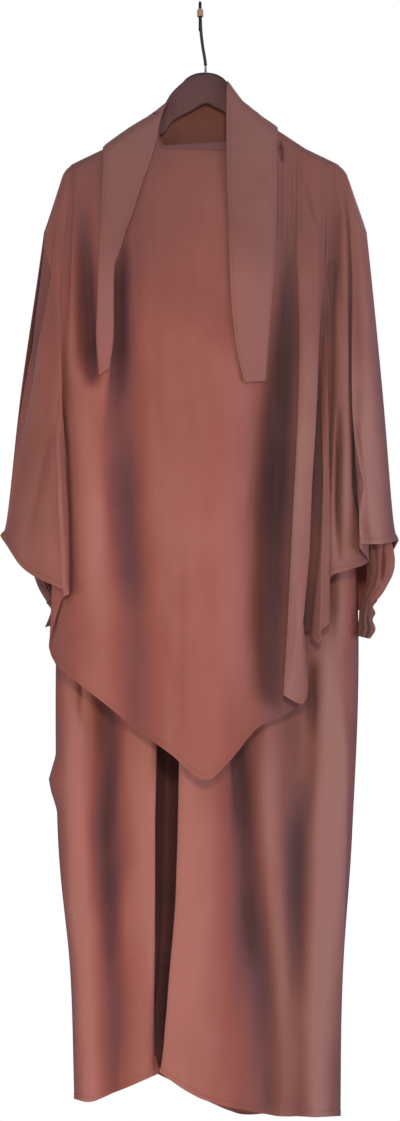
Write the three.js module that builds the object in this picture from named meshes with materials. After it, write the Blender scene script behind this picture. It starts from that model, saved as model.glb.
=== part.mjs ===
// A long djellaba robe with a pointed cape over it, hanging empty on a black hanger.
// Millimetres. +Z up, +Y towards the back, +X to the right of someone who faces the garment.
// The origin is the point where a rail carries the hook: the inside top of its arch.
import * as THREE from "three";

// ---- driving dimensions ----
const cloth = 2; // wall of every cloth piece: the crepe with its seam allowance, or two layers of it
const seamGap = 0.3;
const hookLean = 7; // the hanger's middle stands this far to the right of the hook's arch

const hanger = { thick: 12, bevel: 2, bar: 24, tipBar: 15, tipX: 196 };
const hook = { wire: 4.6, sides: 5, steps: 24 };
const sleeveRing = { wire: 5.3, outer: 9, length: 10, z: -17 };

// The hanger's top edge: a rounded neck on two sloping arms. [distance from the middle, height]
const hangerTop = [
  [0, -99],
  [12, -100.5],
  [22, -104.5],
  [31, -112],
  [43, -130],
  [53, -146],
  [67, -163.5],
  [80, -174],
  [105, -189],
  [146, -216],
  [190, -237],
  [196, -240],
];

// How high above the hanger each layer's own middle surface rides.
const lift = { robe: 3.2, cape: 6.2 };
const neckHalf = { open: 62, over: 80 }; // the neck is open inside the first, over the arm past the second
const capeNeck = -205;
const robeNeck = -240;

// ---- curves ----
function catmull(values, t) {
  const last = values.length - 1;
  const at = Math.min(Math.max(t, 0), 1) * last;
  const i = Math.min(Math.floor(at), last - 1);
  const f = at - i;
  const b = values[i];
  const c = values[i + 1];
  const a = i > 0 ? values[i - 1] : 2 * b - c;
  const d = i + 2 <= last ? values[i + 2] : 2 * c - b;
  return b + 0.5 * f * (c - a + f * (2 * a - 5 * b + 4 * c - d + f * (3 * (b - c) + d - a)));
}

const clamp01 = (t) => Math.min(Math.max(t, 0), 1);
const smooth = (t) => t * t * (3 - 2 * t);
const ramp = (t, from, to) => smooth(clamp01((t - from) / (to - from)));

// Height of the hanger's top edge at a distance from its middle.
function ridgeAt(distance) {
  const x = Math.abs(distance);
  let i = 1;
  while (i < hangerTop.length - 1 && hangerTop[i][0] < x) i += 1;
  const [x0, z0] = hangerTop[i - 1];
  const [x1, z1] = hangerTop[i];
  return z0 + ((z1 - z0) * (x - x0)) / (x1 - x0);
}

// ---- cloth sheets ----
// A sheet hangs from the ridge over the hanger's arms. It is a row of fold lines that run from the
// ridge to the hem, each [x at every height, y at every height, hem z]. The heights are the ridge,
// the levels that the sheet states, and the hem. Along a fold, w runs from 0 at the top to 1 at the
// hem, and its first tenth is the turn over the arm.
const turn = { share: 0.1, drop: 16, full: 14 };

function sheetPoint(sheet, u, w) {
  const { folds, levels } = sheet;
  const stretch = levels.length + 1;
  const topX = catmull(folds.map((f) => f[0][0]), u);
  const over = sheet.neckClosed ? 1 : ramp(Math.abs(topX), neckHalf.open, neckHalf.over);
  // The top edge leaves the ridge towards the wearer's side first and only then drops to the neckline.
  const overY = clamp01(2.5 * over - 1.5);
  const overZ = clamp01(2 * over);
  const top = (ridgeAt(topX) + sheet.lift(topX)) * overZ + sheet.neck(topX) * (1 - overZ);
  const vTurn = turn.drop / ((top - levels[0]) * stretch);
  const v = w < turn.share ? vTurn * (w / turn.share) ** 1.6 : vTurn + ((1 - vTurn) * (w - turn.share)) / (1 - turn.share);
  const hem = catmull(folds.map((f) => f[2]), u);
  const below = catmull([...levels, hem], clamp01((v * stretch - 1) / (stretch - 1)));
  const z = v * stretch < 1 ? top + (levels[0] - top) * v * stretch : below;
  const x = catmull(folds.map((f) => catmull(f[0], v)), u);
  const side = sheet.back ? 1 : -1;
  const depth = side * catmull(folds.map((f) => catmull(f[1], v)), u);
  const out = u <= 0 || u >= 1 ? Math.max(depth, 0) : depth;
  const drop = clamp01((top - z) / turn.full);
  const rolled = out * Math.sqrt(1 - (1 - drop) ** 2);
  return new THREE.Vector3(x, side * (rolled * overY + out * (1 - overY) + seamGap / 2), z);
}

function sheetNormal(sheet, u, w) {
  const e = 0.002;
  const du = sheetPoint(sheet, Math.min(1, u + e), w).sub(sheetPoint(sheet, Math.max(0, u - e), w));
  const dw = sheetPoint(sheet, u, Math.min(1, w + e)).sub(sheetPoint(sheet, u, Math.max(0, w - e)));
  const n = du.cross(dw).multiplyScalar(sheet.back ? 1 : -1);
  // Square to the seam where front meets back, so the two walls stand edge to edge.
  const onSeam = u <= 0 || u >= 1 || w <= 0;
  if (onSeam && Math.abs(sheetPoint(sheet, u, w).y) < seamGap) n.y = 0;
  return n.normalize();
}

// A closed wall from a grid of mid-surface points and their unit normals.
function wall(points, normals, thickness = cloth) {
  const rows = points.length;
  const cols = points[0].length;
  const position = [];
  for (const side of [0.5, -0.5]) {
    points.forEach((row, i) =>
      row.forEach((p, j) => {
        const q = p.clone().addScaledVector(normals[i][j], side * thickness);
        position.push(q.x, q.y, q.z);
      }),
    );
  }
  const at = (layer, i, j) => layer * rows * cols + i * cols + j;
  const index = [];
  const quad = (a, b, c, d) => index.push(a, b, c, a, c, d);
  for (let i = 0; i < rows - 1; i += 1) {
    for (let j = 0; j < cols - 1; j += 1) {
      quad(at(0, i, j), at(0, i + 1, j), at(0, i + 1, j + 1), at(0, i, j + 1));
      quad(at(1, i, j), at(1, i, j + 1), at(1, i + 1, j + 1), at(1, i + 1, j));
    }
  }
  for (let j = 0; j < cols - 1; j += 1) {
    quad(at(0, 0, j), at(0, 0, j + 1), at(1, 0, j + 1), at(1, 0, j));
    quad(at(0, rows - 1, j + 1), at(0, rows - 1, j), at(1, rows - 1, j), at(1, rows - 1, j + 1));
  }
  for (let i = 0; i < rows - 1; i += 1) {
    quad(at(0, i + 1, 0), at(0, i, 0), at(1, i, 0), at(1, i + 1, 0));
    quad(at(0, i, cols - 1), at(0, i + 1, cols - 1), at(1, i + 1, cols - 1), at(1, i, cols - 1));
  }
  return closedGeometry(position, index);
}

// Faces out, whichever way its faces were listed.
function closedGeometry(position, index) {
  let six = 0;
  for (let k = 0; k < index.length; k += 3) {
    const [a, b, c] = [0, 1, 2].map((m) => new THREE.Vector3().fromArray(position, 3 * index[k + m]));
    six += a.dot(b.cross(c));
  }
  const geometry = new THREE.BufferGeometry();
  geometry.setAttribute("position", new THREE.Float32BufferAttribute(position, 3));
  geometry.setIndex(six < 0 ? index.reverse() : index);
  return geometry.toNonIndexed();
}

const turnRows = [0, 0.015, 0.035, 0.065, 0.1];

function allRows(count) {
  const below = Array.from({ length: count }, (_, i) => 0.1 + (0.9 * (i + 1)) / count);
  return [...turnRows, ...below];
}

// The part of a sheet between two of its fold lines, with "between" extra columns in each fold.
function sheetPiece(sheet, from, to, { rows = allRows(7), between = 1, out = 0 } = {}) {
  const last = sheet.folds.length - 1;
  const count = (to - from) * (between + 1);
  const points = [];
  const normals = [];
  for (const w of rows) {
    const line = [];
    const lineNormals = [];
    for (let j = 0; j <= count; j += 1) {
      const u = (from + j / (between + 1)) / last;
      const n = sheetNormal(sheet, u, w);
      line.push(sheetPoint(sheet, u, w).addScaledVector(n, out));
      lineNormals.push(n);
    }
    points.push(line);
    normals.push(lineNormals);
  }
  if (from > 0) trimSide(points, normals, 0, 1);
  if (to < last) trimSide(points, normals, count, count - 1);
  return wall(points, normals);
}

// Pulls an edge column in until it stands half a seam gap from the plane across the seam.
function trimSide(points, normals, edge, next) {
  const copy = points.map((row) => row[edge].clone());
  points.forEach((row, i) => {
    const along = copy[Math.min(i + 1, copy.length - 1)].clone().sub(copy[Math.max(i - 1, 0)]);
    const across = along.cross(normals[i][edge]).normalize();
    const step = row[next].clone().sub(row[edge]).normalize();
    const reach = seamGap / 2 / Math.max(Math.abs(step.dot(across)), 0.12) + 0.1;
    row[edge].addScaledVector(step, reach);
  });
}

// ---- the cape: a front and a back sheet, sewn over the shoulders and down the outer arms ----
const capeFront = {
  back: false,
  lift: () => lift.cape,
  neck: (x) => capeNeck + 0.06 * x,
  levels: [-330, -560, -740],
  folds: [
    // left side panel: outer seam, its turn, a crease, the front fold, the tuck behind it
    [[-206, -233, -266, -286, -296], [0, 0, 0, 0, 0], -770],
    [[-204, -228, -243, -278, -289], [-8, -20, -36, -16, -12], -779],
    [[-201, -219, -222, -243, -253], [-14, -29, -48, -54, -55], -822],
    [[-198, -210, -205, -196, -194], [-17, -34, -58, -70, -74], -851],
    [[-196, -206, -209, -206, -206], [-17, -31, -50, -57, -59], -864],
    [[-193, -201, -211, -216, -222], [-18, -29, -42, -45, -45], -925],
    // front panel
    [[-188, -194, -205, -210, -214], [-18, -30, -40, -44, -46], -951],
    [[-178, -186, -188, -192, -198], [-19, -34, -48, -56, -60], -966],
    [[-142, -148, -146, -148, -149], [-20, -34, -52, -68, -76], -1003],
    [[-112, -122, -116, -106, -98], [-20, -28, -44, -56, -70], -1045],
    [[-76, -80, -74, -64, -50], [-22, -36, -60, -74, -84], -1078],
    [[-8, -8, -6, -4, -3], [-24, -41, -66, -80, -90], -1115],
    [[44, 44, 41, 38, 30], [-22, -38, -62, -75, -84], -1094],
    [[76, 84, 73, 70, 72], [-20, -33, -49, -60, -74], -1045],
    [[110, 107, 102, 100, 103], [-20, -30, -41, -49, -62], -1031],
    [[127, 126, 132, 131, 134], [-20, -31, -43, -48, -56], -1011],
    // deep fold beside the panel: its front edge, its face, its far edge
    [[140, 134, 131, 121, 109], [-20, -35, -64, -82, -88], -994],
    [[156, 157, 159, 149, 138], [-20, -35, -60, -76, -80], -1008],
    [[168, 168, 161, 150, 146], [-19, -29, -46, -58, -66], -971],
    // right side panel: narrow inner fold, second fold, outer fold, outer seam
    [[174, 173, 165, 152, 140], [-19, -26, -36, -46, -51], -910],
    [[178, 177, 170, 167, 161], [-18, -27, -41, -59, -67], -921],
    [[181, 181, 177, 176, 174], [-18, -25, -37, -55, -61], -894],
    [[184, 185, 181, 176, 173], [-18, -26, -33, -42, -47], -857],
    [[188, 192, 187, 182, 179], [-18, -31, -43, -52, -57], -829],
    [[192, 200, 204, 203, 201], [-17, -32, -46, -53, -57], -820],
    [[195, 205, 213, 226, 232], [-16, -25, -34, -41, -45], -808],
    [[200, 211, 210, 219, 221], [-13, -28, -50, -59, -63], -784],
    [[204, 224, 237, 248, 252], [-9, -22, -38, -45, -48], -782],
    [[206, 234, 257, 272, 280], [0, 0, 0, 0, 0], -777],
  ],
};
const frontSeams = { left: 5, right: 18 };

const capeBack = {
  back: true,
  lift: () => lift.cape,
  neck: (x) => ridgeAt(x) - 4,
  levels: [-330, -560, -740],
  folds: [
    // left side panel: outer seam, middle, back fold, tuck behind it
    [[-206, -233, -266, -286, -296], [0, 0, 0, 0, 0], -770],
    [[-204, -228, -249, -268, -280], [8, 21, 35, 36, 30], -788],
    [[-201, -218, -228, -238, -246], [14, 32, 52, 60, 60], -826],
    [[-198, -208, -204, -198, -196], [17, 37, 60, 74, 80], -860],
    [[-195, -203, -206, -210, -212], [18, 31, 44, 48, 50], -915],
    // back panel, with a point like the front's
    [[-180, -182, -180, -183, -190], [19, 36, 53, 57, 58], -975],
    [[-150, -150, -144, -140, -140], [19, 32, 46, 56, 64], -1020],
    [[-110, -106, -100, -96, -94], [19, 38, 62, 75, 84], -1060],
    [[-72, -66, -56, -50, -48], [20, 32, 50, 58, 68], -1094],
    [[0, 0, 0, 0, 0], [20, 38, 64, 80, 90], -1126],
    [[72, 64, 55, 48, 46], [20, 32, 48, 58, 66], -1094],
    [[110, 104, 100, 96, 92], [19, 38, 62, 74, 82], -1060],
    [[150, 148, 142, 138, 138], [19, 32, 46, 56, 64], -1020],
    [[180, 182, 180, 182, 188], [19, 36, 53, 57, 58], -975],
    // right side panel
    [[195, 202, 205, 209, 211], [18, 31, 44, 48, 50], -915],
    [[198, 207, 206, 202, 198], [17, 37, 58, 72, 78], -892],
    [[201, 219, 230, 236, 236], [14, 31, 50, 58, 58], -872],
    [[204, 228, 247, 259, 264], [8, 21, 34, 35, 30], -812],
    [[206, 234, 257, 272, 280], [0, 0, 0, 0, 0], -777],
  ],
};
const backSeams = { left: 4, right: 14 };

// ---- the robe: front with one deep pleat, back, two hanging sleeves with gathered cuffs ----
const robeFront = {
  back: false,
  lift: () => lift.robe,
  neck: () => robeNeck,
  levels: [-480, -900, -1200, -1400],
  folds: [
    [[-198, -201, -215, -213, -195, -189], [-12, 0, 0, 0, 0, 0], -1586],
    [[-168, -172, -182, -184, -172, -165], [-13, -25, -32, -38, -40, -44], -1580],
    [[-125, -130, -138, -141, -136, -133], [-13, -24, -26, -21, -26, -34], -1570],
    [[-85, -95, -101, -102, -99, -98], [-14, -28, -38, -43, -42, -42], -1554],
    // the deep pleat: left edge, its floor, right edge
    [[-58, -66, -70, -69, -68, -68], [-14, -28, -42, -46, -44, -40], -1540],
    [[-52, -62, -74, -76, -76, -66], [-14, -25, -14, 2, -6, -20], -1542],
    [[-42, -46, -40, -40, -52, -60], [-14, -25, -12, 6, 0, -16], -1543],
    [[-30, -33, -34, -37, -55, -65], [-14, -28, -44, -50, -52, -54], -1535],
    [[0, 0, 1, 0, -2, -3], [-14, -28, -44, -50, -54, -58], -1573],
    [[40, 44, 48, 52, 66, 82], [-14, -25, -30, -28, -32, -42], -1597],
    [[82, 86, 89, 92, 104, 113], [-14, -28, -38, -38, -44, -50], -1599],
    [[122, 124, 125, 126, 132, 139], [-13, -24, -28, -27, -36, -46], -1600],
    [[165, 168, 173, 170, 165, 163], [-13, -24, -34, -39, -44, -46], -1601],
    [[198, 202, 222, 213, 199, 196], [-12, 0, 0, 0, 0, 0], -1611],
  ],
};

const robeBack = {
  back: true,
  lift: () => lift.robe,
  neck: (x) => ridgeAt(x) - 20,
  levels: [-480, -900, -1200, -1400],
  folds: [
    [[-198, -201, -215, -213, -195, -189], [12, 0, 0, 0, 0, 0], -1586],
    [[-165, -168, -176, -178, -168, -163], [13, 25, 34, 42, 46, 50], -1590],
    [[-120, -122, -128, -130, -126, -124], [13, 22, 26, 26, 32, 40], -1578],
    [[-75, -78, -84, -88, -88, -86], [13, 27, 40, 48, 52, 58], -1560],
    [[-30, -34, -38, -40, -42, -42], [13, 24, 28, 30, 36, 44], -1574],
    [[14, 12, 8, 6, 5, 4], [13, 27, 40, 48, 54, 60], -1604],
    [[70, 63, 56, 52, 52, 52], [15, 23, 28, 28, 36, 46], -1619],
    [[100, 106, 104, 102, 101, 100], [14, 27, 40, 46, 52, 58], -1622],
    [[150, 152, 155, 152, 149, 148], [13, 23, 28, 28, 34, 42], -1622],
    [[178, 180, 192, 187, 180, 178], [13, 21, 32, 36, 40, 44], -1619],
    [[198, 202, 222, 213, 199, 196], [12, 0, 0, 0, 0, 0], -1611],
  ],
};

// ---- ties and bands ----
// The ties lie on the cape and go on up over the hanger's neck, where the cape itself is open.
// Each is made from the points of the cape's front, carried over the neck and moved out.
const underTies = {
  ...capeFront,
  neckClosed: true,
  lift: (x) => 0.4 + (lift.cape - 0.4) * ramp(Math.abs(x), 40, 70),
};
const tieOut = { edge: 3.4, middle: 5.4 };

// Where on the sheet the point is that stands at x, z: [u, w].
function findOnSheet(sheet, x, z) {
  let [u0, u1] = [7 / 28, 15 / 28];
  let u = 0;
  let w = 0;
  for (let i = 0; i < 22; i += 1) {
    u = (u0 + u1) / 2;
    let [w0, w1] = [0, 0.9];
    for (let k = 0; k < 22 && z < 0; k += 1) {
      w = (w0 + w1) / 2;
      if (sheetPoint(sheet, u, w).z > z) w0 = w;
      else w1 = w;
    }
    if (sheetPoint(sheet, u, w).x < x) u0 = u;
    else u1 = u;
  }
  return [u, w];
}

// Three lines of [x, z] from the neck to the tip. A height of 0 stands for the ridge.
const tieLines = {
  left: [
    [[-146, 0], [-147, -240], [-149, -310], [-152, -380], [-154, -430], [-153, -490], [-150, -539]],
    [[-96, 0], [-110, -230], [-125, -310], [-140, -382], [-142, -430], [-141, -490], [-146, -544]],
    [[-44, 0], [-70, -211], [-102, -310], [-129, -384], [-130, -430], [-131, -480], [-135, -531]],
  ],
  right: [
    [[31, 0], [30, -225], [32, -300], [34, -368], [37, -440], [44, -505], [54, -553]],
    [[68, 0], [66, -225], [68, -300], [67, -367], [66, -440], [67, -505], [71, -551]],
    [[104, 0], [103, -225], [103, -300], [100, -366], [94, -440], [89, -505], [86, -550]],
  ],
};

const tieColumns = 8;

function tieGeometry(lines) {
  const placed = lines.map((line, i) =>
    line.map(([x, z]) => [...findOnSheet(underTies, x, z), i === 1 ? tieOut.middle : tieOut.edge]),
  );
  const rows = [0, 0.02, 0.05, 0.09, ...Array.from({ length: 7 }, (_, i) => 0.16 + (0.84 * i) / 6)];
  const points = [];
  const normals = [];
  for (const t of rows) {
    const line = [];
    const lineNormals = [];
    for (let j = 0; j <= tieColumns; j += 1) {
      const [u, w, out] = [0, 1, 2].map((k) => catmull(placed.map((p) => catmull(p.map((q) => q[k]), t)), j / tieColumns));
      const n = sheetNormal(underTies, u, Math.max(w, 0));
      line.push(sheetPoint(underTies, u, Math.max(w, 0)).addScaledVector(n, out));
      lineNormals.push(n);
    }
    points.push(line);
    normals.push(lineNormals);
  }
  return wall(points, normals);
}

// The band across the front of the hanger's neck, between the ties: [x, top z, bottom z].
const headBand = {
  y: -10,
  stops: [
    [-57, -161, -171],
    [-46, -148, -167],
    [-41, -130, -165],
    [-20, -108, -156],
    [0, -102.5, -145],
    [14, -105, -150],
    [26, -112, -156],
    [33, -128, -162],
  ],
};

function headBandGeometry() {
  const points = [];
  const normals = [];
  for (const share of [0, 0.5, 1]) {
    const row = Array.from({ length: 13 }, (_, j) => {
      const [x, top, bottom] = [0, 1, 2].map((k) => catmull(headBand.stops.map((s) => s[k]), j / 12));
      return new THREE.Vector3(x, headBand.y - 3 * share, top + (bottom - top) * share);
    });
    points.push(row);
    normals.push(row.map(() => new THREE.Vector3(0, -1, -0.08).normalize()));
  }
  return wall(points, normals);
}

// A binding along the cape's front neck edge, made from the panel's own points, moved out.
const binding = { out: 2.6, rows: [0, 0.04, 0.07] };

// ---- sleeves and cuffs ----
// Each ring is [centre x, y, z, tilt, half width, half depth]: tilt 0 lies level, 90 stands upright.
const sleeveRings = {
  left: [
    [-201.2, 0, -366, -90.7, 112, 12],
    [-213, 0, -400, -84.6, 100, 16],
    [-222.5, 0, -472, -70.6, 56, 21],
    [-228.5, 0, -540, -42, 30, 24],
    [-231, 0, -611, -5, 22, 26],
    [-236, 0, -740, 0, 22, 27],
    [-234, -3, -800, 6, 19, 24],
    [-230, -9, -836, 20, 13.5, 18],
    [-216, -17, -868, 28, 8.5, 10.5],
  ],
  right: [
    [202.4, 0, -366, 90.7, 112, 12],
    [214, 0, -400, 84.6, 100, 16],
    [222, 0, -474, 72, 52, 20],
    [229, 0, -542, 42, 24, 21],
    [235, 0, -615, 5, 19, 25],
    [243, 0, -740, 0, 20, 27],
    [254, 0, -806, -4, 21, 26],
    [248, -1, -840, -18, 15, 20],
    [235.5, -2, -866, -26, 8.5, 11],
  ],
};
const cuffRings = {
  left: [
    [-214.8, -17.5, -870.2, 28, 7.5, 9.5],
    [-213.4, -18, -876, 26, 7, 9.5],
    [-214, -19, -885, 20, 9, 12],
    [-216.5, -20, -897, 15, 11, 13],
  ],
  right: [
    [234.4, -2, -868.3, -26, 7.5, 10],
    [233.4, -2, -874, -22, 7.5, 10],
    [232.8, -2, -886, -14, 8.5, 14],
    [232, -2, -912, -12, 7.5, 15],
  ],
};
const ripples = { sleeve: { count: 5, share: 0.04 }, cuff: { count: 6, share: 0.1 } };

function tubeGeometry(rings, sides, steps, ripple) {
  const position = [];
  const addRing = (t, inset) => {
    const [x, y, z, tilt, halfWidth, halfDepth] = [0, 1, 2, 3, 4, 5].map((k) => catmull(rings.map((r) => r[k]), t));
    const angle = THREE.MathUtils.degToRad(tilt);
    for (let i = 0; i < sides; i += 1) {
      const a = (2 * Math.PI * i) / sides;
      const wave = 1 + ripple.share * Math.cos(ripple.count * a) * ramp(t, 0.2, 0.7);
      const across = Math.cos(a) * (halfWidth * wave - inset);
      const deep = Math.sin(a) * (halfDepth * wave - inset);
      position.push(x + across * Math.cos(angle), y + deep, z + across * Math.sin(angle));
    }
  };
  for (let s = 0; s <= steps; s += 1) addRing(s / steps, 0);
  for (let s = steps; s >= 0; s -= 1) addRing(s / steps, cloth);
  const loops = 2 * (steps + 1);
  const index = [];
  for (let s = 0; s < loops; s += 1) {
    for (let i = 0; i < sides; i += 1) {
      const a = s * sides + i;
      const b = s * sides + ((i + 1) % sides);
      const c = ((s + 1) % loops) * sides + i;
      const d = ((s + 1) % loops) * sides + ((i + 1) % sides);
      index.push(a, b, d, a, d, c);
    }
  }
  return closedGeometry(position, index);
}

// ---- hanger ----
function hangerGeometry() {
  const outline = new THREE.Shape();
  const inset = hanger.bevel;
  const top = hangerTop.map(([x, z]) => [x, z - inset]);
  const bar = (x) => hanger.bar + (hanger.tipBar - hanger.bar) * (x / hanger.tipX) - 2 * inset;
  const mirrored = [...top].reverse().map(([x, z]) => [-x, z]).slice(0, -1);
  const upper = [...mirrored, ...top];
  upper.forEach(([x, z], i) => (i ? outline.lineTo(x, z) : outline.moveTo(x, z)));
  const stops = [hanger.tipX, 146, 105, 70, 36, 0];
  const under = [...stops, ...stops.slice(0, -1).reverse().map((x) => -x)];
  for (const x of under) {
    const hub = 14 * Math.exp(-((x / 45) ** 2)); // the neck is hollowed from below
    outline.lineTo(x, ridgeAt(x) - bar(Math.abs(x)) - inset - 6 + hub);
  }
  const depth = hanger.thick - 2 * inset;
  const options = { depth, bevelThickness: inset, bevelSize: inset, bevelSegments: 1 };
  const geometry = new THREE.ExtrudeGeometry(outline, options);
  return geometry.rotateX(Math.PI / 2).translate(0, depth / 2, 0);
}

// The wire leaves the hanger's neck, swings out to one side and arches over the rail.
const hookTop = hook.wire / 2;
const hookPath = [
  [1, 0, -98.4],
  [1, 0, -91],
  [0, -2, -80],
  [-3, -9, -64],
  [-5.5, -17, -46],
  [-6.5, -20, -28],
  [-7, -17, -12],
  [-7, -9, -0.5],
  [-7, 0, hookTop],
  [-7, 9, -0.5],
  [-7, 17, -11],
  [-7, 20, -24],
  [-7, 21, -34],
];

function hookGeometry() {
  const path = new THREE.CatmullRomCurve3(hookPath.map((p) => new THREE.Vector3(...p)));
  const section = new THREE.Shape().absarc(0, 0, hook.wire / 2, 0, 2 * Math.PI);
  const options = { steps: hook.steps, extrudePath: path, curveSegments: hook.sides, bevelEnabled: false };
  return new THREE.ExtrudeGeometry(section, options);
}

function hookSleeveGeometry() {
  const ring = new THREE.Shape().absarc(0, 0, sleeveRing.outer / 2, 0, 2 * Math.PI);
  ring.holes.push(new THREE.Path().absarc(0, 0, sleeveRing.wire / 2 + 0.6, 0, 2 * Math.PI, true));
  const options = { depth: sleeveRing.length, curveSegments: 6, bevelEnabled: false };
  const lean = Math.atan2(3, 16); // follows the wire, which leans towards the arch there
  return new THREE.ExtrudeGeometry(ring, options)
    .translate(0, 0, -sleeveRing.length / 2)
    .rotateX(-lean)
    .translate(-6.9, -18.4, sleeveRing.z);
}

// ---- materials and assembly ----
const material = (color, roughness, metalness = 0) => new THREE.MeshStandardMaterial({ color, roughness, metalness });
const crepe = material(0x9a5f56, 0.75);
const crepeDeep = material(0x8a554d, 0.78);
const blackCoat = material(0x141212, 0.45);
const wireCoat = material(0x0b0a0a, 0.35, 0.4);
const tan = material(0xb3957f, 0.6);

const garment = new THREE.Group();
garment.position.x = hookLean;

function add(name, geometry, look) {
  const mesh = new THREE.Mesh(geometry, look);
  mesh.name = name;
  garment.add(mesh);
}

add("hanger_body", hangerGeometry(), blackCoat);
add("hanger_hook", hookGeometry(), wireCoat);
add("hook_sleeve", hookSleeveGeometry(), tan);

const frontEnd = capeFront.folds.length - 1;
const backEnd = capeBack.folds.length - 1;
add("cape_side_front_left", sheetPiece(capeFront, 0, frontSeams.left), crepe);
add("cape_front", sheetPiece(capeFront, frontSeams.left, frontSeams.right), crepe);
add("cape_side_front_right", sheetPiece(capeFront, frontSeams.right, frontEnd), crepe);
add("cape_side_back_left", sheetPiece(capeBack, 0, backSeams.left), crepe);
add("cape_back", sheetPiece(capeBack, backSeams.left, backSeams.right), crepe);
add("cape_side_back_right", sheetPiece(capeBack, backSeams.right, backEnd), crepe);
add("cape_neck_binding", sheetPiece(capeFront, 10.5, 12, binding), crepeDeep);
add("cape_head_band", headBandGeometry(), crepeDeep);
add("tie_left", tieGeometry(tieLines.left), crepe);
add("tie_right", tieGeometry(tieLines.right), crepe);
add("robe_front", sheetPiece(robeFront, 0, robeFront.folds.length - 1), crepe);
add("robe_back", sheetPiece(robeBack, 0, robeBack.folds.length - 1), crepe);
for (const side of ["left", "right"]) {
  add(`robe_sleeve_${side}`, tubeGeometry(sleeveRings[side], 14, 8, ripples.sleeve), crepe);
  add(`robe_cuff_${side}`, tubeGeometry(cuffRings[side], 20, 3, ripples.cuff), crepeDeep);
}

export default garment;
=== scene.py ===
import math

import bmesh
import bpy
import numpy as np
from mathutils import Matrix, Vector


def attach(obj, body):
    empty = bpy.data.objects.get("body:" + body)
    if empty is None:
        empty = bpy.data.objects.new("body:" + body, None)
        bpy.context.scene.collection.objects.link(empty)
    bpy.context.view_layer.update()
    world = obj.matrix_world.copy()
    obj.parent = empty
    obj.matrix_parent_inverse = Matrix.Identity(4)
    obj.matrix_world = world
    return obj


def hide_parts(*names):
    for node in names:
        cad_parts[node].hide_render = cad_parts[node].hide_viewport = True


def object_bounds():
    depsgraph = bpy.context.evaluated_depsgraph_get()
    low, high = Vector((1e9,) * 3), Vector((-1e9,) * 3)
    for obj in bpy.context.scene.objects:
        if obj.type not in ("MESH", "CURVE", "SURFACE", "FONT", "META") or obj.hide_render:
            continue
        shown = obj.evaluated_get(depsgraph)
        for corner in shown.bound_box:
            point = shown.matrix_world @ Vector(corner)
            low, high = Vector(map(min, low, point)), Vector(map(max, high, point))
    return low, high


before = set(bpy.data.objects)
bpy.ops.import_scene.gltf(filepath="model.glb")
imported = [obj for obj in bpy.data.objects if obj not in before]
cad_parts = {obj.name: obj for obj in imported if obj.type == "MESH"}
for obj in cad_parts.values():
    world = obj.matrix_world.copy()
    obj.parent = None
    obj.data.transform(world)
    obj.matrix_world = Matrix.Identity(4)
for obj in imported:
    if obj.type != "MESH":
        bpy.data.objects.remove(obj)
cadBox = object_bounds()
middle = (cadBox[0] + cadBox[1]) / 2
scene = bpy.context.scene
mm = 0.001


# ---------- camera, lights, floor ----------
camera = {
    "distance": 3.2,
    "aside": 0.0008,  # from the middle of the garment
    "above": 0.0033,
    "lens": 70.87,
    "sensor": 36,
}


def srgb(hexText, strength=1.0):
    def linear(value):
        return value / 12.92 if value <= 0.04045 else ((value + 0.055) / 1.055) ** 2.4

    parts = [int(hexText[i : i + 2], 16) / 255 for i in (1, 3, 5)]
    return tuple(strength * linear(part) for part in parts) + (1.0,)


def addNode(tree, kind, settings=None, inputs=None):
    node = tree.nodes.new(kind)
    for name, value in (settings or {}).items():
        setattr(node, name, value)
    for name, value in (inputs or {}).items():
        if isinstance(value, bpy.types.NodeSocket):
            tree.links.new(value, node.inputs[name])
        else:
            node.inputs[name].default_value = value
    return node


def mathNode(tree, operation, *values):
    return addNode(tree, "ShaderNodeMath", {"operation": operation}, dict(enumerate(values))).outputs[0]


def mapRange(tree, value, start, stop, low, high):
    ends = dict(enumerate((value, start, stop, low, high)))
    return addNode(tree, "ShaderNodeMapRange", inputs=ends).outputs[0]


def noiseNode(tree, place, scale, detail, roughness=0.5):
    inputs = {"Vector": place, "Scale": scale, "Detail": detail, "Roughness": roughness}
    return addNode(tree, "ShaderNodeTexNoise", inputs=inputs).outputs[0]


def mixColors(tree, share, first, second, blend="MIX"):
    settings = {"data_type": "RGBA", "blend_type": blend}
    return addNode(tree, "ShaderNodeMix", settings, {0: share, 6: first, 7: second}).outputs[2]


def bumpNode(tree, strength, distance, height):
    inputs = {"Strength": strength, "Distance": distance, "Height": height}
    return addNode(tree, "ShaderNodeBump", inputs=inputs).outputs[0]


def newMaterial(name):
    material = bpy.data.materials.new(name)
    material.use_nodes = True
    material.node_tree.nodes.clear()
    return material, material.node_tree


def addSurface(tree, inputs):
    shader = addNode(tree, "ShaderNodeBsdfPrincipled", inputs=inputs)
    addNode(tree, "ShaderNodeOutputMaterial", inputs={"Surface": shader.outputs[0]})


def makeCamera():
    data = bpy.data.cameras.new("garmentCamera")
    data.lens = camera["lens"]
    data.sensor_width = camera["sensor"]
    eye = bpy.data.objects.new("garmentCamera", data)
    eye.location = (
        middle.x + camera["aside"],
        -camera["distance"],
        middle.z + camera["above"],
    )
    eye.rotation_euler = (math.pi / 2, 0, 0)
    scene.collection.objects.link(eye)
    scene.camera = eye


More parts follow.
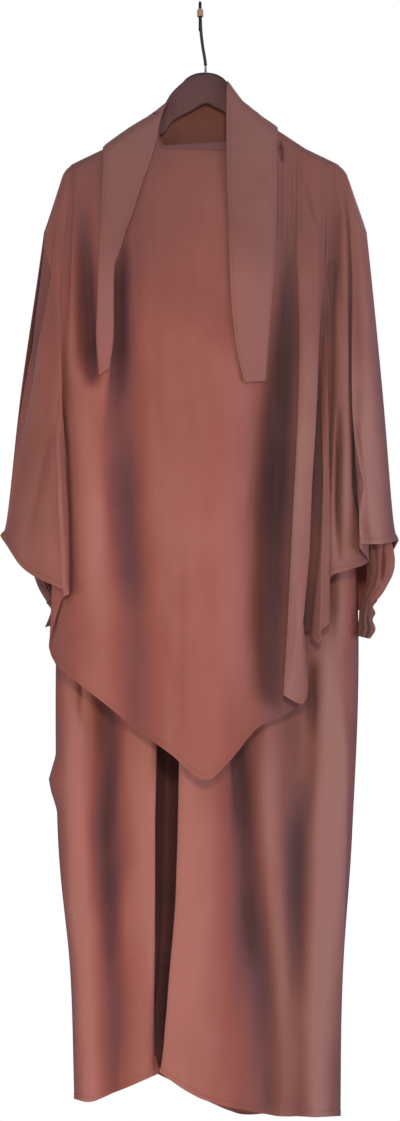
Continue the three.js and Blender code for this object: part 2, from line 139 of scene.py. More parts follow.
# Soft boxes round the garment: place and aim in metres, from the middle of the garment.
softBoxes = {
    "key": {"at": (0.1, -2.3, 0.6), "size": 0.3, "power": 17.5, "tint": "#ffe6cc"},
    "low": {"at": (-0.2, -2.6, -0.9), "size": 1.2, "power": 8.5, "tint": "#ffe2cc"},
    "right": {"at": (2.0, -1.1, -0.1), "size": 1.2, "power": 24, "tint": "#f0dcf4"},
    "left": {"at": (-2.2, -0.8, -0.5), "size": 1.2, "power": 20, "tint": "#ffe2e4"},
    "above": {"at": (0.0, -1.2, 2.2), "size": 1.0, "power": 9, "tint": "#d5dcff"},
    "rear": {"at": (0.6, 2.8, 1.2), "size": 1.8, "power": 60, "tint": "#ffffff"},
}
room = {"light": 0.2, "tint": "#ffffff", "seen": 1.0}


def makeLights():
    for name, box in softBoxes.items():
        data = bpy.data.lights.new(name + "Light", "AREA")
        data.shape = "SQUARE"
        data.size = box["size"]
        data.energy = box["power"]
        data.color = srgb(box["tint"])[:3]
        lamp = bpy.data.objects.new(name + "Light", data)
        lamp.location = middle + Vector(box["at"])
        lamp.rotation_euler = (middle - lamp.location).to_track_quat("-Z", "Y").to_euler()
        lamp.visible_camera = False
        scene.collection.objects.link(lamp)
    world = bpy.data.worlds.new("paleRoom")
    world.use_nodes = True
    tree = world.node_tree
    tree.nodes.clear()
    seen = addNode(tree, "ShaderNodeLightPath").outputs["Is Camera Ray"]
    strength = addNode(tree, "ShaderNodeMix", inputs={0: seen, 2: room["light"], 3: room["seen"]})
    light = {"Color": srgb(room["tint"]), "Strength": strength.outputs[0]}
    sky = addNode(tree, "ShaderNodeBackground", inputs=light)
    addNode(tree, "ShaderNodeOutputWorld", inputs={"Surface": sky.outputs[0]})
    scene.world = world
    scene.view_settings.view_transform = "Standard"


floor = {"below": 0.28, "radius": 1.05, "sides": 96, "color": "#f2efec", "roughness": 0.9}


def makeFloor():
    mesh = bpy.data.meshes.new("floor")
    shape = bmesh.new()
    bmesh.ops.create_circle(shape, cap_ends=True, segments=floor["sides"], radius=floor["radius"])
    bmesh.ops.translate(shape, verts=shape.verts, vec=(0, 0, cadBox[0].z - floor["below"]))
    shape.to_mesh(mesh)
    shape.free()
    disc = bpy.data.objects.new("floor", mesh)
    scene.collection.objects.link(disc)
    plaster = bpy.data.materials.new("matt_floor_paint")
    plaster.use_nodes = True
    shader = plaster.node_tree.nodes["Principled BSDF"]
    shader.inputs["Base Color"].default_value = srgb(floor["color"])
    shader.inputs["Roughness"].default_value = floor["roughness"]
    mesh.materials.append(plaster)


makeCamera()
makeLights()
makeFloor()
print("camera, lights and floor are in place")


# ---------- materials ----------
# Polyester crepe: hard-twisted yarn in a plain weave. The twist pulls the surface into a fine matt
# pebble with a faint sheen on the turns of the folds. The yarns are really 0.3 mm apart and the
# pebbles 0.8 mm; both are drawn coarser so that they show.
crepe = {
    "name": "crepe_polyester",
    # painted light and shade: the colours run from the lit crest of a fold down to its shaded hollow
    "crest": "#b0766c",
    "body": "#985a4f",
    "valley": "#72494b",
    "hollow": "#5c3c3b",
    "stops": {"hollow": 0.27, "valley": 0.37, "body": 0.62, "crest": 0.88},  # on the fold's tone: painted shade in the hollows, painted light on the crests
    "shaded": "#cef7ff",  # painted shade: tint of the side and shoulder cloth, which sees less of the light
    "mottle": 170,  # mm, soft change of tone over the cloth
    "mottleTone": 0.34,
    "pebble": 2.6,  # mm
    "pebbleTone": 0.16,
    "yarn": 1.5,  # mm
    "yarnHeight": 0.35,  # of the pebble's
    "relief": 0.35,
    "reliefDepth": 0.5,  # mm
    "roughness": (0.66, 0.84),
    "sheen": 0.3,
    "sheenTint": "#d8bcc4",
}
crepePressed = {
    **crepe,
    "name": "crepe_polyester_pressed",  # the ties: folded double and pressed, a little greyer
    "crest": "#a26c64",
    "body": "#8f5c54",
    "valley": "#6b4845",
}
crepePaintedShade = {
    **crepe,
    "name": "crepe_polyester_painted_shade",  # a darker copy of the crepe: painted shade for the head band, the neck binding and the cuffs
    "crest": "#8f5f58",
    "body": "#7e504b",
    "valley": "#664142",
}
paintedShadeZones = {  # along which axis, where the painted shade starts and is full in metres, its strength
    "right": ("X", 0.035, 0.12, 0.66),
    "left": ("X", -0.17, -0.24, 0.5),
    "front": ("Y", 0.004, -0.02, 1.0),
    "shoulders": ("Z", -0.52, -0.2, 0.6),
}


def makeCrepe(look):
    material, tree = newMaterial(look["name"])
    onCloth = addNode(tree, "ShaderNodeUVMap", {"uv_map": "cloth"}).outputs[0]
    # the fold attribute carries the painted shade of the folds' hollows and the painted light of their
    # crests
    depth = addNode(tree, "ShaderNodeAttribute", {"attribute_name": "fold"}).outputs["Fac"]
    mottle = noiseNode(tree, onCloth, 1000 / look["mottle"], detail=3.0)
    pebble = noiseNode(tree, onCloth, 1000 / look["pebble"], detail=2.0, roughness=0.6)
    bandScale = 2 * math.pi / (20 * look["yarn"] * mm)  # a band repeats every 2 pi / 20 at scale 1
    bands = {"Vector": onCloth, "Scale": bandScale, "Distortion": 1.6, "Detail": 1.0}
    yarns = [
        addNode(tree, "ShaderNodeTexWave", {"bands_direction": direction}, bands).outputs["Fac"]
        for direction in ("X", "Y")
    ]
    # colour: painted shade in the hollow of a fold up to painted light on its crest, moved a little by
    # the mottle and the pebble
    shifted = mathNode(tree, "MULTIPLY_ADD", mottle, look["mottleTone"], depth)
    grained = mathNode(tree, "MULTIPLY_ADD", pebble, look["pebbleTone"], shifted)
    tones = addNode(tree, "ShaderNodeValToRGB", inputs={"Fac": grained})
    stops, places = tones.color_ramp.elements, look["stops"]
    stops[0].position, stops[0].color = places["hollow"], srgb(look["hollow"])
    stops[1].position, stops[1].color = places["crest"], srgb(look["crest"])
    for part in ("valley", "body"):
        stops.new(places[part]).color = srgb(look[part])
    # painted shade: the shoulders and the sides of the front are greyer, as they see less of the light
    place = addNode(tree, "ShaderNodeTexCoord").outputs["Object"]
    along = addNode(tree, "ShaderNodeSeparateXYZ", inputs={0: place}).outputs
    zones = {
        name: mapRange(tree, along[axis], start, stop, 0, share)
        for name, (axis, start, stop, share) in paintedShadeZones.items()
    }
    zone = mathNode(tree, "MAXIMUM", zones["right"], zones["left"])
    zone = mathNode(tree, "MULTIPLY", zone, zones["front"])
    zone = mathNode(tree, "MAXIMUM", zone, zones["shoulders"])
    color = mixColors(tree, zone, tones.outputs[0], srgb(look["shaded"]), "MULTIPLY")
    # surface: the weave, broken up by the pebble
    weave = mathNode(tree, "MAXIMUM", *yarns)
    height = mathNode(tree, "MULTIPLY_ADD", weave, look["yarnHeight"], pebble)
    surface = {
        "Base Color": color,
        "Roughness": mapRange(tree, pebble, 0, 1, *look["roughness"]),
        "Normal": bumpNode(tree, look["relief"], look["reliefDepth"] * mm, height),
        "IOR": 1.5,
        "Specular IOR Level": 0.3,
        "Sheen Weight": look["sheen"],
        "Sheen Roughness": 0.45,
        "Sheen Tint": srgb(look["sheenTint"]),
    }
    addSurface(tree, surface)
    return material


# A coat of one colour over a hard part, with a fine orange-peel and slight wear in its gloss.
hardLooks = {
    "black_lacquer_on_beech": {  # brushed lacquer on a turned and sawn wooden hanger
        "color": "#1d1816", "grain": "#2c221d", "roughness": (0.30, 0.50), "metallic": 0.0,
        "stretch": (4, 60, 60), "relief": 0.12,
    },
    "black_powder_coated_steel": {  # a coated wire: fine even speckle
        "color": "#171514", "grain": "#24211f", "roughness": (0.34, 0.54), "metallic": 0.0,
        "stretch": (900, 900, 900), "relief": 0.10,
    },
    "bright_zinc_on_steel": {  # the plated thread of the hook, brushed round
        "color": "#c9c6c2", "grain": "#a8a5a1", "roughness": (0.24, 0.44), "metallic": 1.0,
        "stretch": (120, 120, 1800), "relief": 0.15,
    },
    "beige_pvc_sleeving": {  # soft moulded tube pushed over the wire
        "color": "#b7957f", "grain": "#a48470", "roughness": (0.42, 0.62), "metallic": 0.0,
        "stretch": (300, 300, 300), "relief": 0.12,
    },
}
grainDepth = 0.2  # mm


def makeHard(name):
    look = hardLooks[name]
    material, tree = newMaterial(name)
    place = addNode(tree, "ShaderNodeTexCoord").outputs["Object"]
    scaled = addNode(tree, "ShaderNodeMapping", inputs={"Vector": place, "Scale": look["stretch"]})
    grain = noiseNode(tree, scaled.outputs[0], 1.0, detail=4.0, roughness=0.6)
    surface = {
        "Base Color": mixColors(tree, grain, srgb(look["color"]), srgb(look["grain"])),
        "Roughness": mapRange(tree, grain, 0, 1, *look["roughness"]),
        "Metallic": look["metallic"],
        "Normal": bumpNode(tree, look["relief"], grainDepth * mm, grain),
    }
    addSurface(tree, surface)
    return material


finish = {name: makeHard(name) for name in hardLooks}
finish["crepe"] = makeCrepe(crepe)
finish["crepe_shade"] = makeCrepe(crepePaintedShade)
finish["crepe_pressed"] = makeCrepe(crepePressed)
print("materials are ready")


# ---------- curves and walls, in millimetres ----------
design = {
    "lean": 7,  # the hanger's middle stands this far to the right of the origin
    "cloth": 1.1,  # one layer with its finish
    "hem": 9,  # depth of the turned hem
    "hemStep": 1.5,  # over which the hem's second layer begins
    "hemExtra": 0.8,
    "edgeRoll": 0.5,
    "rollReach": 1.6,
    "atSeam": 0.3,  # an edge this near to the middle plane is a side seam
    "hemSewn": 1.6,  # from the top of the hem down to its stitches
    "hemThread": 0.15,  # how far the thread stands off the cloth
    "stripThread": 0.1,
}
hangerTop = [
    [0, -99], [12, -100.5], [22, -104.5], [31, -112], [43, -130], [53, -146],
    [67, -163.5], [80, -174], [105, -189], [146, -216], [190, -237], [196, -240],
]
lift = {"robe": 3.2, "cape": 6.2}
neckHalf = {"open": 62, "over": 80}
neckLine = {"cape": -205, "robe": -240}
turn = {"share": 0.1, "drop": 16, "full": 14, "ease": 1.6, "rows": 13, "crowding": 1.2}
shoulder = {"from": 190, "reach": 16, "drop": 14}  # the cloth falls away past the hanger's tips


def ramp(t, start, stop):
    s = np.clip((t - start) / (stop - start), 0, 1)
    return s * s * (3 - 2 * s)


def ridgeAt(x):
    return np.interp(np.abs(x), [p[0] for p in hangerTop], [p[1] for p in hangerTop])


def curveWeights(t, count):
    at = np.clip(t, 0, 1) * (count - 1)
    i = np.minimum(np.floor(at).astype(int), count - 2)
    f = at - i
    weights = [
        0.5 * f * (-1 + f * (2 - f)),
        1 + 0.5 * f * f * (3 * f - 5),
        0.5 * f * (1 + f * (4 - 3 * f)),
        0.5 * f * f * (f - 1),
    ]
    return i, weights


def withEnds(values):
    return np.concatenate([2 * values[:1] - values[1:2], values, 2 * values[-1:] - values[-2:-1]])


def through(values, t):  # a smooth curve through the values, t from 0 to 1
    values = np.asarray(values, float)
    t = np.asarray(t, float)
    i, weights = curveWeights(t, len(values))
    padded = withEnds(values)
    flat = [w[..., None] if values.ndim > 1 else w for w in weights]
    return sum(w * padded[i + k] for k, w in enumerate(flat))


def across(table, u, v):  # the same in both directions of a table [fold][height]
    iu, wu = curveWeights(u, table.shape[0])
    iv, wv = curveWeights(v, table.shape[1])
    padded = withEnds(withEnds(table).T).T
    return sum(wu[a] * wv[b] * padded[iu + a, iv + b] for a in range(4) for b in range(4))


def sheetPoints(sheet, u, w):
    u, w = np.broadcast_arrays(np.asarray(u, float), np.asarray(w, float))
    folds = sheet["folds"]
    tableX = np.array([fold[0] for fold in folds], float)
    tableY = np.array([fold[1] for fold in folds], float)
    levels = sheet["levels"]
    stretch = len(levels) + 1
    topX = through(tableX[:, 0], u)
    # over the hanger the cloth first rises to the ridge, then takes on its depth
    over = np.ones_like(u) if sheet.get("neckClosed") else ramp(np.abs(topX), *neckHalf.values())
    overY = np.clip(2.5 * over - 1.5, 0, 1)
    overZ = np.clip(2 * over, 0, 1)
    past = np.clip((np.abs(topX) - shoulder["from"]) / shoulder["reach"], 0, 1)
    top = (ridgeAt(topX) + sheet["lift"](topX)) * overZ + sheet["neck"](topX) * (1 - overZ)
    top = top - shoulder["drop"] * past**2
    turned = turn["drop"] / ((top - levels[0]) * stretch)
    share = turn["share"]
    v = np.where(
        w < share,
        turned * (np.clip(w, 0, 1) / share) ** turn["ease"],
        turned + (1 - turned) * (w - share) / (1 - share),
    )
    hem = through([fold[2] for fold in folds], u)
    heights = [np.full_like(u, level) for level in levels] + [hem]
    padded = [2 * heights[0] - heights[1], *heights, 2 * heights[-1] - heights[-2]]
    i, weights = curveWeights((v * stretch - 1) / (stretch - 1), stretch)
    below = sum(weight * np.choose(i + k, padded) for k, weight in enumerate(weights))
    z = np.where(v * stretch < 1, top + (levels[0] - top) * v * stretch, below)
    x = across(tableX, u, v)
    side = 1 if sheet["back"] else -1
    depth = side * across(tableY, u, v)
    depth = np.where((u <= 0) | (u >= 1), np.maximum(depth, 0), depth)
    drop = np.clip((top - z) / turn["full"], 0, 1)
    rolled = depth * np.sqrt(1 - (1 - drop) ** 2)
    y = side * (rolled * overY + depth * (1 - overY))
    return np.stack([x, y, z], axis=-1)


def unit(vectors):
    return vectors / np.maximum(np.linalg.norm(vectors, axis=-1, keepdims=True), 1e-9)


def outward(points, back, seams=True):
    along = np.gradient(points, axis=0)
    over = np.gradient(points, axis=1)
    n = np.cross(over, along) * (1 if back else -1)
    if seams:
        edge = np.zeros(points.shape[:2], bool)
        edge[0] = edge[:, 0] = edge[:, -1] = True
        n[..., 1] = np.where(edge & (np.abs(points[..., 1]) < design["atSeam"]), 0, n[..., 1])
    return unit(n)


def dent(points, normals, marks):
    # Each mark is a line of stops [x, z, reach to its left, reach to its right, depth inwards].
    amount = np.zeros(points.shape[:2])
    x, z = points[..., 0] + design["lean"], points[..., 2]
    for mark in marks:
        best = np.full(x.shape, 1e9)
        value = np.zeros(x.shape)
        for a, b in zip(mark[:-1], mark[1:]):
            a, b = np.array(a, float), np.array(b, float)
            step = b[:2] - a[:2]
            t = ((x - a[0]) * step[0] + (z - a[1]) * step[1]) / (step @ step)
            t = np.clip(t, 0, 1)
            dx = x - (a[0] + t * step[0])
            dz = z - (a[1] + t * step[1])
            distance = np.hypot(dx, dz)
            isLeft = dx * step[1] - dz * step[0] > 0
            reach = np.where(isLeft, a[2] + t * (b[2] - a[2]), a[3] + t * (b[3] - a[3]))
            depth = a[4] + t * (b[4] - a[4])
            closer = distance < best
            best = np.where(closer, distance, best)
            value = np.where(closer, depth * np.exp(-((distance / reach) ** 2)), value)
        amount += value
    return points - normals * amount[..., None]


# Slight unevenness of hanging cloth, in waves that run down the piece: broad shallow ones, then
# fine streaks a finger's width apart. Each wave swells and fades down the cloth, from its base.
unevenWaves = (
    {"count": 7, "spacing": (26, 90), "slant": 0.12, "swell": (260, 620), "base": 0.0,
     "shift": 2.3, "height": 1.0},
    {"count": 6, "spacing": (12, 24), "slant": 0.06, "swell": (180, 420), "base": 0.5,
     "shift": 1.0, "height": 0.36},
)
unevenEdges = {"sides": 0.05, "down": (0.03, 0.14), "typical": 2.6}


def drift(points, u, w, seed, size):
    rng = np.random.default_rng(seed)
    x, z = points[..., 0], points[..., 2]
    total = np.zeros(x.shape)
    for kind in unevenWaves:
        for _ in range(kind["count"]):
            wave = 2 * math.pi / rng.uniform(*kind["spacing"])
            slope = rng.uniform(-kind["slant"], kind["slant"])
            phase = rng.uniform(0, 2 * math.pi)
            swell = np.sin(2 * math.pi * z / rng.uniform(*kind["swell"]) + phase)
            swell = kind["base"] + (1 - kind["base"]) * swell
            total += kind["height"] * swell * np.sin(wave * (x + slope * z) + kind["shift"] * phase)
    edge = ramp(np.minimum(u, 1 - u), 0, unevenEdges["sides"]) * ramp(w, *unevenEdges["down"])
    return total * edge * size / unevenEdges["typical"]


def lengths(points, axis):
    steps = np.linalg.norm(np.diff(points, axis=axis), axis=-1)
    start = np.zeros_like(np.take(steps, [0], axis=axis))
    return np.concatenate([start, np.cumsum(steps, axis=axis)], axis=axis)


toneLooks = {
    "window": 9,  # a ninth of the columns to each side is what a fold stands out from
    "full": 38,  # mm from the middle tone to either end
    "brightest": 0.75,
    "shoulders": 0.24,  # painted shade: the shoulders are this much deeper in tone
    "fades": (-640, -240),
}


def foldPaintedShading(points, back):
    # Painted light and shade: from 0, in shade deep in a fold, up to the lit crest, by how far the cloth
    # stands out from what is round it.
    depth = points[..., 1] * (1 if back else -1)
    count = depth.shape[1]
    reach = max(2, count // toneLooks["window"])
    padded = np.pad(depth, ((0, 0), (reach, reach)), mode="edge")
    total = np.cumsum(np.pad(padded, ((0, 0), (1, 0))), axis=1)
    around = (total[:, 2 * reach + 1 :] - total[:, : count]) / (2 * reach + 1)
    tone = np.clip(0.5 + (depth - around) / toneLooks["full"], 0.02, 0.98) * toneLooks["brightest"]
    return tone * (1 - toneLooks["shoulders"] * ramp(points[..., 2], *toneLooks["fades"]))


def meshFrom(name, positions, faces, cloth, fold, material):
    mesh = bpy.data.meshes.new(name)
    mesh.from_pydata((positions * mm).tolist(), [], faces.tolist())
    mesh.shade_smooth()
    layer = mesh.uv_layers.new(name="cloth")
    corner = np.empty(len(mesh.loops), int)
    mesh.loops.foreach_get("vertex_index", corner)
    layer.data.foreach_set("uv", (cloth * mm)[corner].astype(np.float32).ravel())
    # the fold attribute: painted light and shade, by how far the cloth stands out from what is round it
    mesh.attributes.new("fold", "FLOAT", "POINT").data.foreach_set("value", fold.astype(np.float32))
    mesh.materials.append(material)
    piece = bpy.data.objects.new(name, mesh)
    scene.collection.objects.link(piece)
    return piece


def wallFrom(name, points, normals, thickness, tone, material, closed=False, innerTone=None):
    # A closed wall of cloth: outer face, inner face and the rim between them.
    rows, cols = points.shape[:2]
    half = np.broadcast_to(np.asarray(thickness, float), (rows, cols))[..., None] / 2
    outer = points + normals * half
    inner = points - normals * half
    position = np.concatenate([outer.reshape(-1, 3), inner.reshape(-1, 3)])
    position[:, 0] += design["lean"]
    ids = np.arange(rows * cols).reshape(rows, cols)
    if closed:
        ids = np.concatenate([ids, ids[:, :1]], axis=1)
    a, b, c, d = ids[:-1, :-1], ids[1:, :-1], ids[1:, 1:], ids[:-1, 1:]
    n = rows * cols
    front = np.stack([a, b, c, d], axis=-1).reshape(-1, 4)
    faces = [front, front[:, ::-1] + n]
    rims = [(ids[0], False), (ids[-1], True)]
    if not closed:
        rims += [(ids[:, 0], True), (ids[:, -1], False)]
    for line, flip in rims:
        rim = np.stack([line[:-1], line[1:], line[1:] + n, line[:-1] + n], axis=-1)
        faces.append(rim[:, ::-1] if flip else rim)
    faces = np.concatenate(faces)
    if signedVolume(position, faces) < 0:
        faces = faces[:, ::-1]
    down, over = lengths(points, 0), lengths(points, 1)
    over = over - over[:, -1:] / 2
    cloth = np.stack([over, -down], axis=-1).reshape(-1, 2)
    tones = [np.broadcast_to(t, (rows, cols)).ravel()
             for t in (tone, tone if innerTone is None else innerTone)]
    return meshFrom(
        name, position, faces, np.concatenate([cloth, cloth]), np.concatenate(tones), material
    )


def signedVolume(position, faces):
    a, b, c, d = (position[faces[:, k]] for k in range(4))
    return float(np.sum(a * np.cross(b, c)) + np.sum(a * np.cross(c, d)))


def edgeBead(share, power):
    # 1 over most of a strip, down to 0 in a round at both its edges, share 0 and 1.
    return np.clip(1 - np.abs(2 * share - 1) ** power, 0, 1) ** 0.5


def sewnOn(points, normals, thick):
    # Where a thread lies on the outer face.
    return points + normals * (thick[..., None] / 2 + design["stripThread"])


def hemThickness(points):
    # Double at the turned hem, with a soft roll along the very edge.
    down = lengths(points, 0)
    left = down[-1:] - down
    hem = design["hem"]
    extra = design["hemExtra"] * (1 - ramp(left, hem - design["hemStep"], hem))
    return design["cloth"] + extra + design["edgeRoll"] * np.exp(-((left / design["rollReach"]) ** 2))


def sheetRows(sheet, body):
    turnRows = turn["share"] * np.linspace(0, 1, turn["rows"]) ** turn["crowding"]
    hemRows = np.array([12, 9.4, 8.8, 7.4, 4, 2, 1, 0])  # mm above the edge
    share = 1 - hemRows / sheet["drop"]
    return np.concatenate([turnRows[:-1], np.linspace(turn["share"], share[0], body)[:-1], share])


def sheetSurface(sheet, start, stop, perFold, body):
    last = len(sheet["folds"]) - 1
    count = int(round((stop - start) * perFold))
    u = np.linspace(start, stop, count + 1)[None, :] / last
    w = sheetRows(sheet, body)[:, None]
    points = sheetPoints(sheet, u, w)
    normals = outward(points, sheet["back"])
    u, w = np.broadcast_arrays(u, w)
    points = dent(points, normals, sheet.get("marks", []))
    points = points + normals * drift(points, u, w, sheet["seed"], sheet["unevenness"])[..., None]
    points[..., 1] *= 1 - sheet.get("tucked", 0) * hiddenByCape(points)
    return points, outward(points, sheet["back"])


covered = {"sides": (178, 200), "below": (-960, -860), "above": (-330, -270)}


def hiddenByCape(points):
    # 1 where the cape covers the robe, so that the robe can lie flat and leave the cape room.
    x, z = np.abs(points[..., 0]), points[..., 2]
    upper = 1 - ramp(z, *covered["above"])
    return (1 - ramp(x, *covered["sides"])) * ramp(z, *covered["below"]) * upper


clothPieces = {}
stitchLines = []
# painted light: the inner face round the middle of the neck is lighter, where light comes in through the
# neck opening
neckInside = {"half": (60, 90), "down": (-300, -240), "lighter": 0.15}


def makeSheetPiece(name, sheet, start, stop, perFold, body):
    points, normals = sheetSurface(sheet, start, stop, perFold, body)
    tone = foldPaintedShading(points, sheet["back"])
    # painted light on the inner face at the middle of the neck
    inside = 1 - ramp(np.abs(points[..., 0]), *neckInside["half"])
    inside = inside * ramp(points[..., 2], *neckInside["down"])
    clothPieces[name] = wallFrom(
        name, points, normals, hemThickness(points), tone, finish["crepe"],
        innerTone=tone * (1 + neckInside["lighter"] * inside),
    )
    stitchLines.append(hemLine(points, normals))


def hemLine(points, normals):
    # A line on the outer face, just below the top of the turned hem.
    down = lengths(points, 0)
    left = down[-1:] - down
    row = np.argmin(np.abs(left - (design["hem"] - design["hemSewn"])), axis=0)
    cols = np.arange(points.shape[1])
    reach = (design["cloth"] + design["hemExtra"]) / 2 + design["hemThread"]
    return points[row, cols] + normals[row, cols] * reach


# ---------- cape ----------
# A sheet is a row of fold lines from the ridge over the hanger to the hem: [x down the fold,
# y down the fold, hem height]. The heights are the ridge, the levels and the hem.
capeFront = {
    "back": False,
    "lift": lambda x: lift["cape"],
    "neck": lambda x: neckLine["cape"] + 0.06 * x,
    "levels": [-330, -560, -740],
    "drop": 780,
    "seed": 11,
    "unevenness": 0.9,
    "folds": [
        # left side panel: outer seam, its turn, a crease, the front fold, the tuck behind it
        [[-206, -233, -266, -286, -296], [0, 0, 0, 0, 0], -770],
        [[-204, -228, -243, -278, -289], [-8, -20, -36, -16, -12], -779],
        [[-201, -219, -222, -243, -253], [-14, -29, -48, -54, -55], -822],
        [[-198, -210, -205, -196, -194], [-17, -34, -58, -70, -74], -851],
        [[-196, -206, -209, -206, -206], [-17, -31, -50, -57, -59], -864],
        [[-193, -201, -211, -216, -222], [-18, -29, -42, -45, -45], -925],
        # front panel
        [[-188, -194, -205, -210, -214], [-18, -30, -40, -44, -46], -951],
        [[-178, -186, -188, -192, -198], [-19, -34, -48, -56, -60], -966],
        [[-142, -148, -146, -148, -149], [-20, -34, -52, -68, -76], -1003],
        [[-112, -122, -116, -106, -98], [-20, -28, -44, -56, -70], -1045],
        [[-76, -80, -74, -64, -50], [-22, -36, -60, -74, -84], -1078],
        [[-8, -8, -6, -4, -3], [-24, -41, -66, -80, -90], -1115],
        [[44, 44, 41, 38, 30], [-22, -38, -62, -75, -84], -1094],
        [[76, 84, 73, 70, 72], [-20, -33, -49, -60, -74], -1045],
        [[110, 107, 102, 100, 103], [-20, -30, -41, -49, -62], -1031],
        [[127, 126, 132, 131, 134], [-20, -31, -43, -48, -56], -1011],
        # deep fold beside the panel: its front edge, its face, its far edge
        [[140, 134, 131, 121, 109], [-20, -35, -64, -82, -88], -994],
        [[156, 157, 159, 149, 138], [-20, -35, -60, -76, -80], -1008],
        [[168, 168, 161, 150, 146], [-19, -29, -46, -58, -66], -971],
        # right side panel: narrow inner fold, second fold, outer fold, outer seam
        [[174, 173, 165, 152, 140], [-19, -26, -36, -46, -51], -909],
        [[176, 175, 168, 160, 150], [-18, -27, -39, -54, -60], -914],
        [[178, 177, 170, 167, 162], [-18, -27, -41, -60, -68], -923],
        [[179, 178, 173, 170, 165], [-18, -26, -40, -58, -66], -905],
        [[181, 181, 177, 176, 174], [-18, -25, -37, -55, -61], -897],
        [[182, 183, 179, 177, 177], [-18, -25, -34, -48, -54], -888],
        [[184, 185, 181, 176, 173], [-18, -26, -33, -42, -47], -857],
        [[188, 192, 187, 182, 179], [-18, -31, -43, -52, -57], -829],
        [[192, 200, 204, 203, 201], [-17, -32, -46, -53, -57], -820],
        [[195, 205, 213, 226, 232], [-16, -25, -34, -41, -45], -808],
        [[200, 211, 210, 219, 221], [-13, -28, -50, -59, -63], -784],
        [[204, 224, 237, 248, 252], [-9, -22, -38, -45, -48], -782],
        [[206, 234, 257, 272, 280], [0, 0, 0, 0, 0], -777],
    ],
    "marks": [
        # beside the left tie, where the cloth falls back behind it
        [[-176, -256, 12, 14, 0], [-167, -320, 16, 14, 12], [-161, -400, 18, 14, 25],
         [-157, -500, 18, 13, 32], [-156, -536, 14, 12, 22], [-156, -560, 10, 10, 0]],
        [[-114, -340, 6, 12, 0], [-118, -400, 7, 12, 17], [-119, -500, 7, 13, 19],
         [-121, -560, 9, 14, 10], [-128, -620, 12, 16, 3]],
        # the left wing's outer strip, behind its lit panel
        [[-208, -280, 6, 6, 0], [-214, -330, 8, 7, 9], [-225, -400, 10, 8, 16],
         [-245, -500, 8, 7, 12], [-255, -590, 8, 7, 6], [-264, -660, 6, 6, 0]],
        # where the front panel goes in behind the left wing
        [[-203, -560, 1.5, 5, 0], [-197.5, -640, 1.5, 7, 10], [-192.5, -740, 1.5, 7, 12],
         [-190.5, -840, 1.5, 7, 10], [-190, -870, 1.5, 5, 0]],
        # long slanting hollow of the chest, and the crease down the middle
        [[-146, -560, 18, 22, 2], [-134, -620, 20, 24, 8], [-120, -720, 20, 26, 11],
         [-108, -820, 24, 28, 9], [-98, -890, 26, 30, 0]],
        [[-26, -790, 5, 5, 0], [-27, -850, 5, 5, 1.4], [-27, -1000, 5, 5, 1.6],
         [-27, -1085, 4, 4, 0]],
        # hollow between the belly and the deep fold on the right
        [[126, -350, 14, 14, 0], [126, -400, 14, 14, 8], [122, -500, 18, 18, 18],
         [115, -600, 26, 18, 23], [109, -760, 34, 16, 23], [106, -900, 42, 17, 23],
         [106, -1000, 28, 10, 10], [106, -1020, 20, 10, 4]],
        # narrow gaps between the folds of the right side
        [[187, -380, 5, 6, 4], [183, -420, 5, 6, 11], [180, -500, 5, 6, 22], [174, -580, 4, 6, 18],
         [166, -700, 4, 6, 14], [162, -800, 4, 5, 9], [151, -900, 5, 5, 11], [150, -990, 4, 4, 0]],
        [[197, -580, 4, 5, 0], [195, -660, 4, 6, 14], [194, -720, 4, 6, 15], [197, -800, 4, 5, 3]],
        [[224, -560, 5, 5, 3], [225, -700, 5, 6, 12], [236, -760, 5, 6, 9], [247, -810, 5, 5, 2]],
        # sleeve seam of the right shoulder
        [[146, -256, 1.6, 6, 0], [155, -292, 1.8, 8, 3.2], [167, -326, 2, 8, 3.6],
         [176, -356, 2, 7, 0.5], [180, -380, 2, 6, 0]],
        # hollows down the right shoulder
        [[196, -262, 7, 7, 0], [197, -310, 8, 7, 4], [196, -380, 8, 7, 5], [197, -450, 8, 7, 0]],
        [[221, -320, 7, 7, 0], [224, -400, 9, 9, 7], [226, -480, 9, 9, 9], [228, -560, 9, 9, 6],
         [229, -620, 8, 8, 0]],
        # the gap where the right tie lifts off the shoulder
        [[113, -205, 2, 3.5, 4], [115, -214, 2, 4, 13], [117, -226, 2, 2.5, 8], [118, -234, 2, 2, 0]],
        # crease of the left wing
        [[-207, -600, 2, 8, 0], [-212, -632, 2, 9, 4], [-223, -668, 2, 10, 5],
         [-238, -730, 2, 10, 4], [-251, -787, 2, 8, 1]],
    ],
}
pleatLines = {
    "from": 111, "to": 145, "count": 6, "depth": 1.3,
    "top": -222, "bottom": -350, "step": 22,  # every third one ends a step or two lower
}
for k in range(pleatLines["count"]):
    x = pleatLines["from"] + (pleatLines["to"] - pleatLines["from"]) * k / (pleatLines["count"] - 1)
    top, end = pleatLines["top"], pleatLines["bottom"] - pleatLines["step"] * (k % 3)
    depth = pleatLines["depth"]
    capeFront["marks"].append(
        [[x, top, 2.2, 2.2, 0], [x - 0.5, top - 30, 2.2, 2.2, depth],
         [x - 1.5, end + 30, 2.4, 2.4, depth], [x - 2, end, 2.4, 2.4, 0]]
    )
frontSeams = {"left": 5, "right": 18}

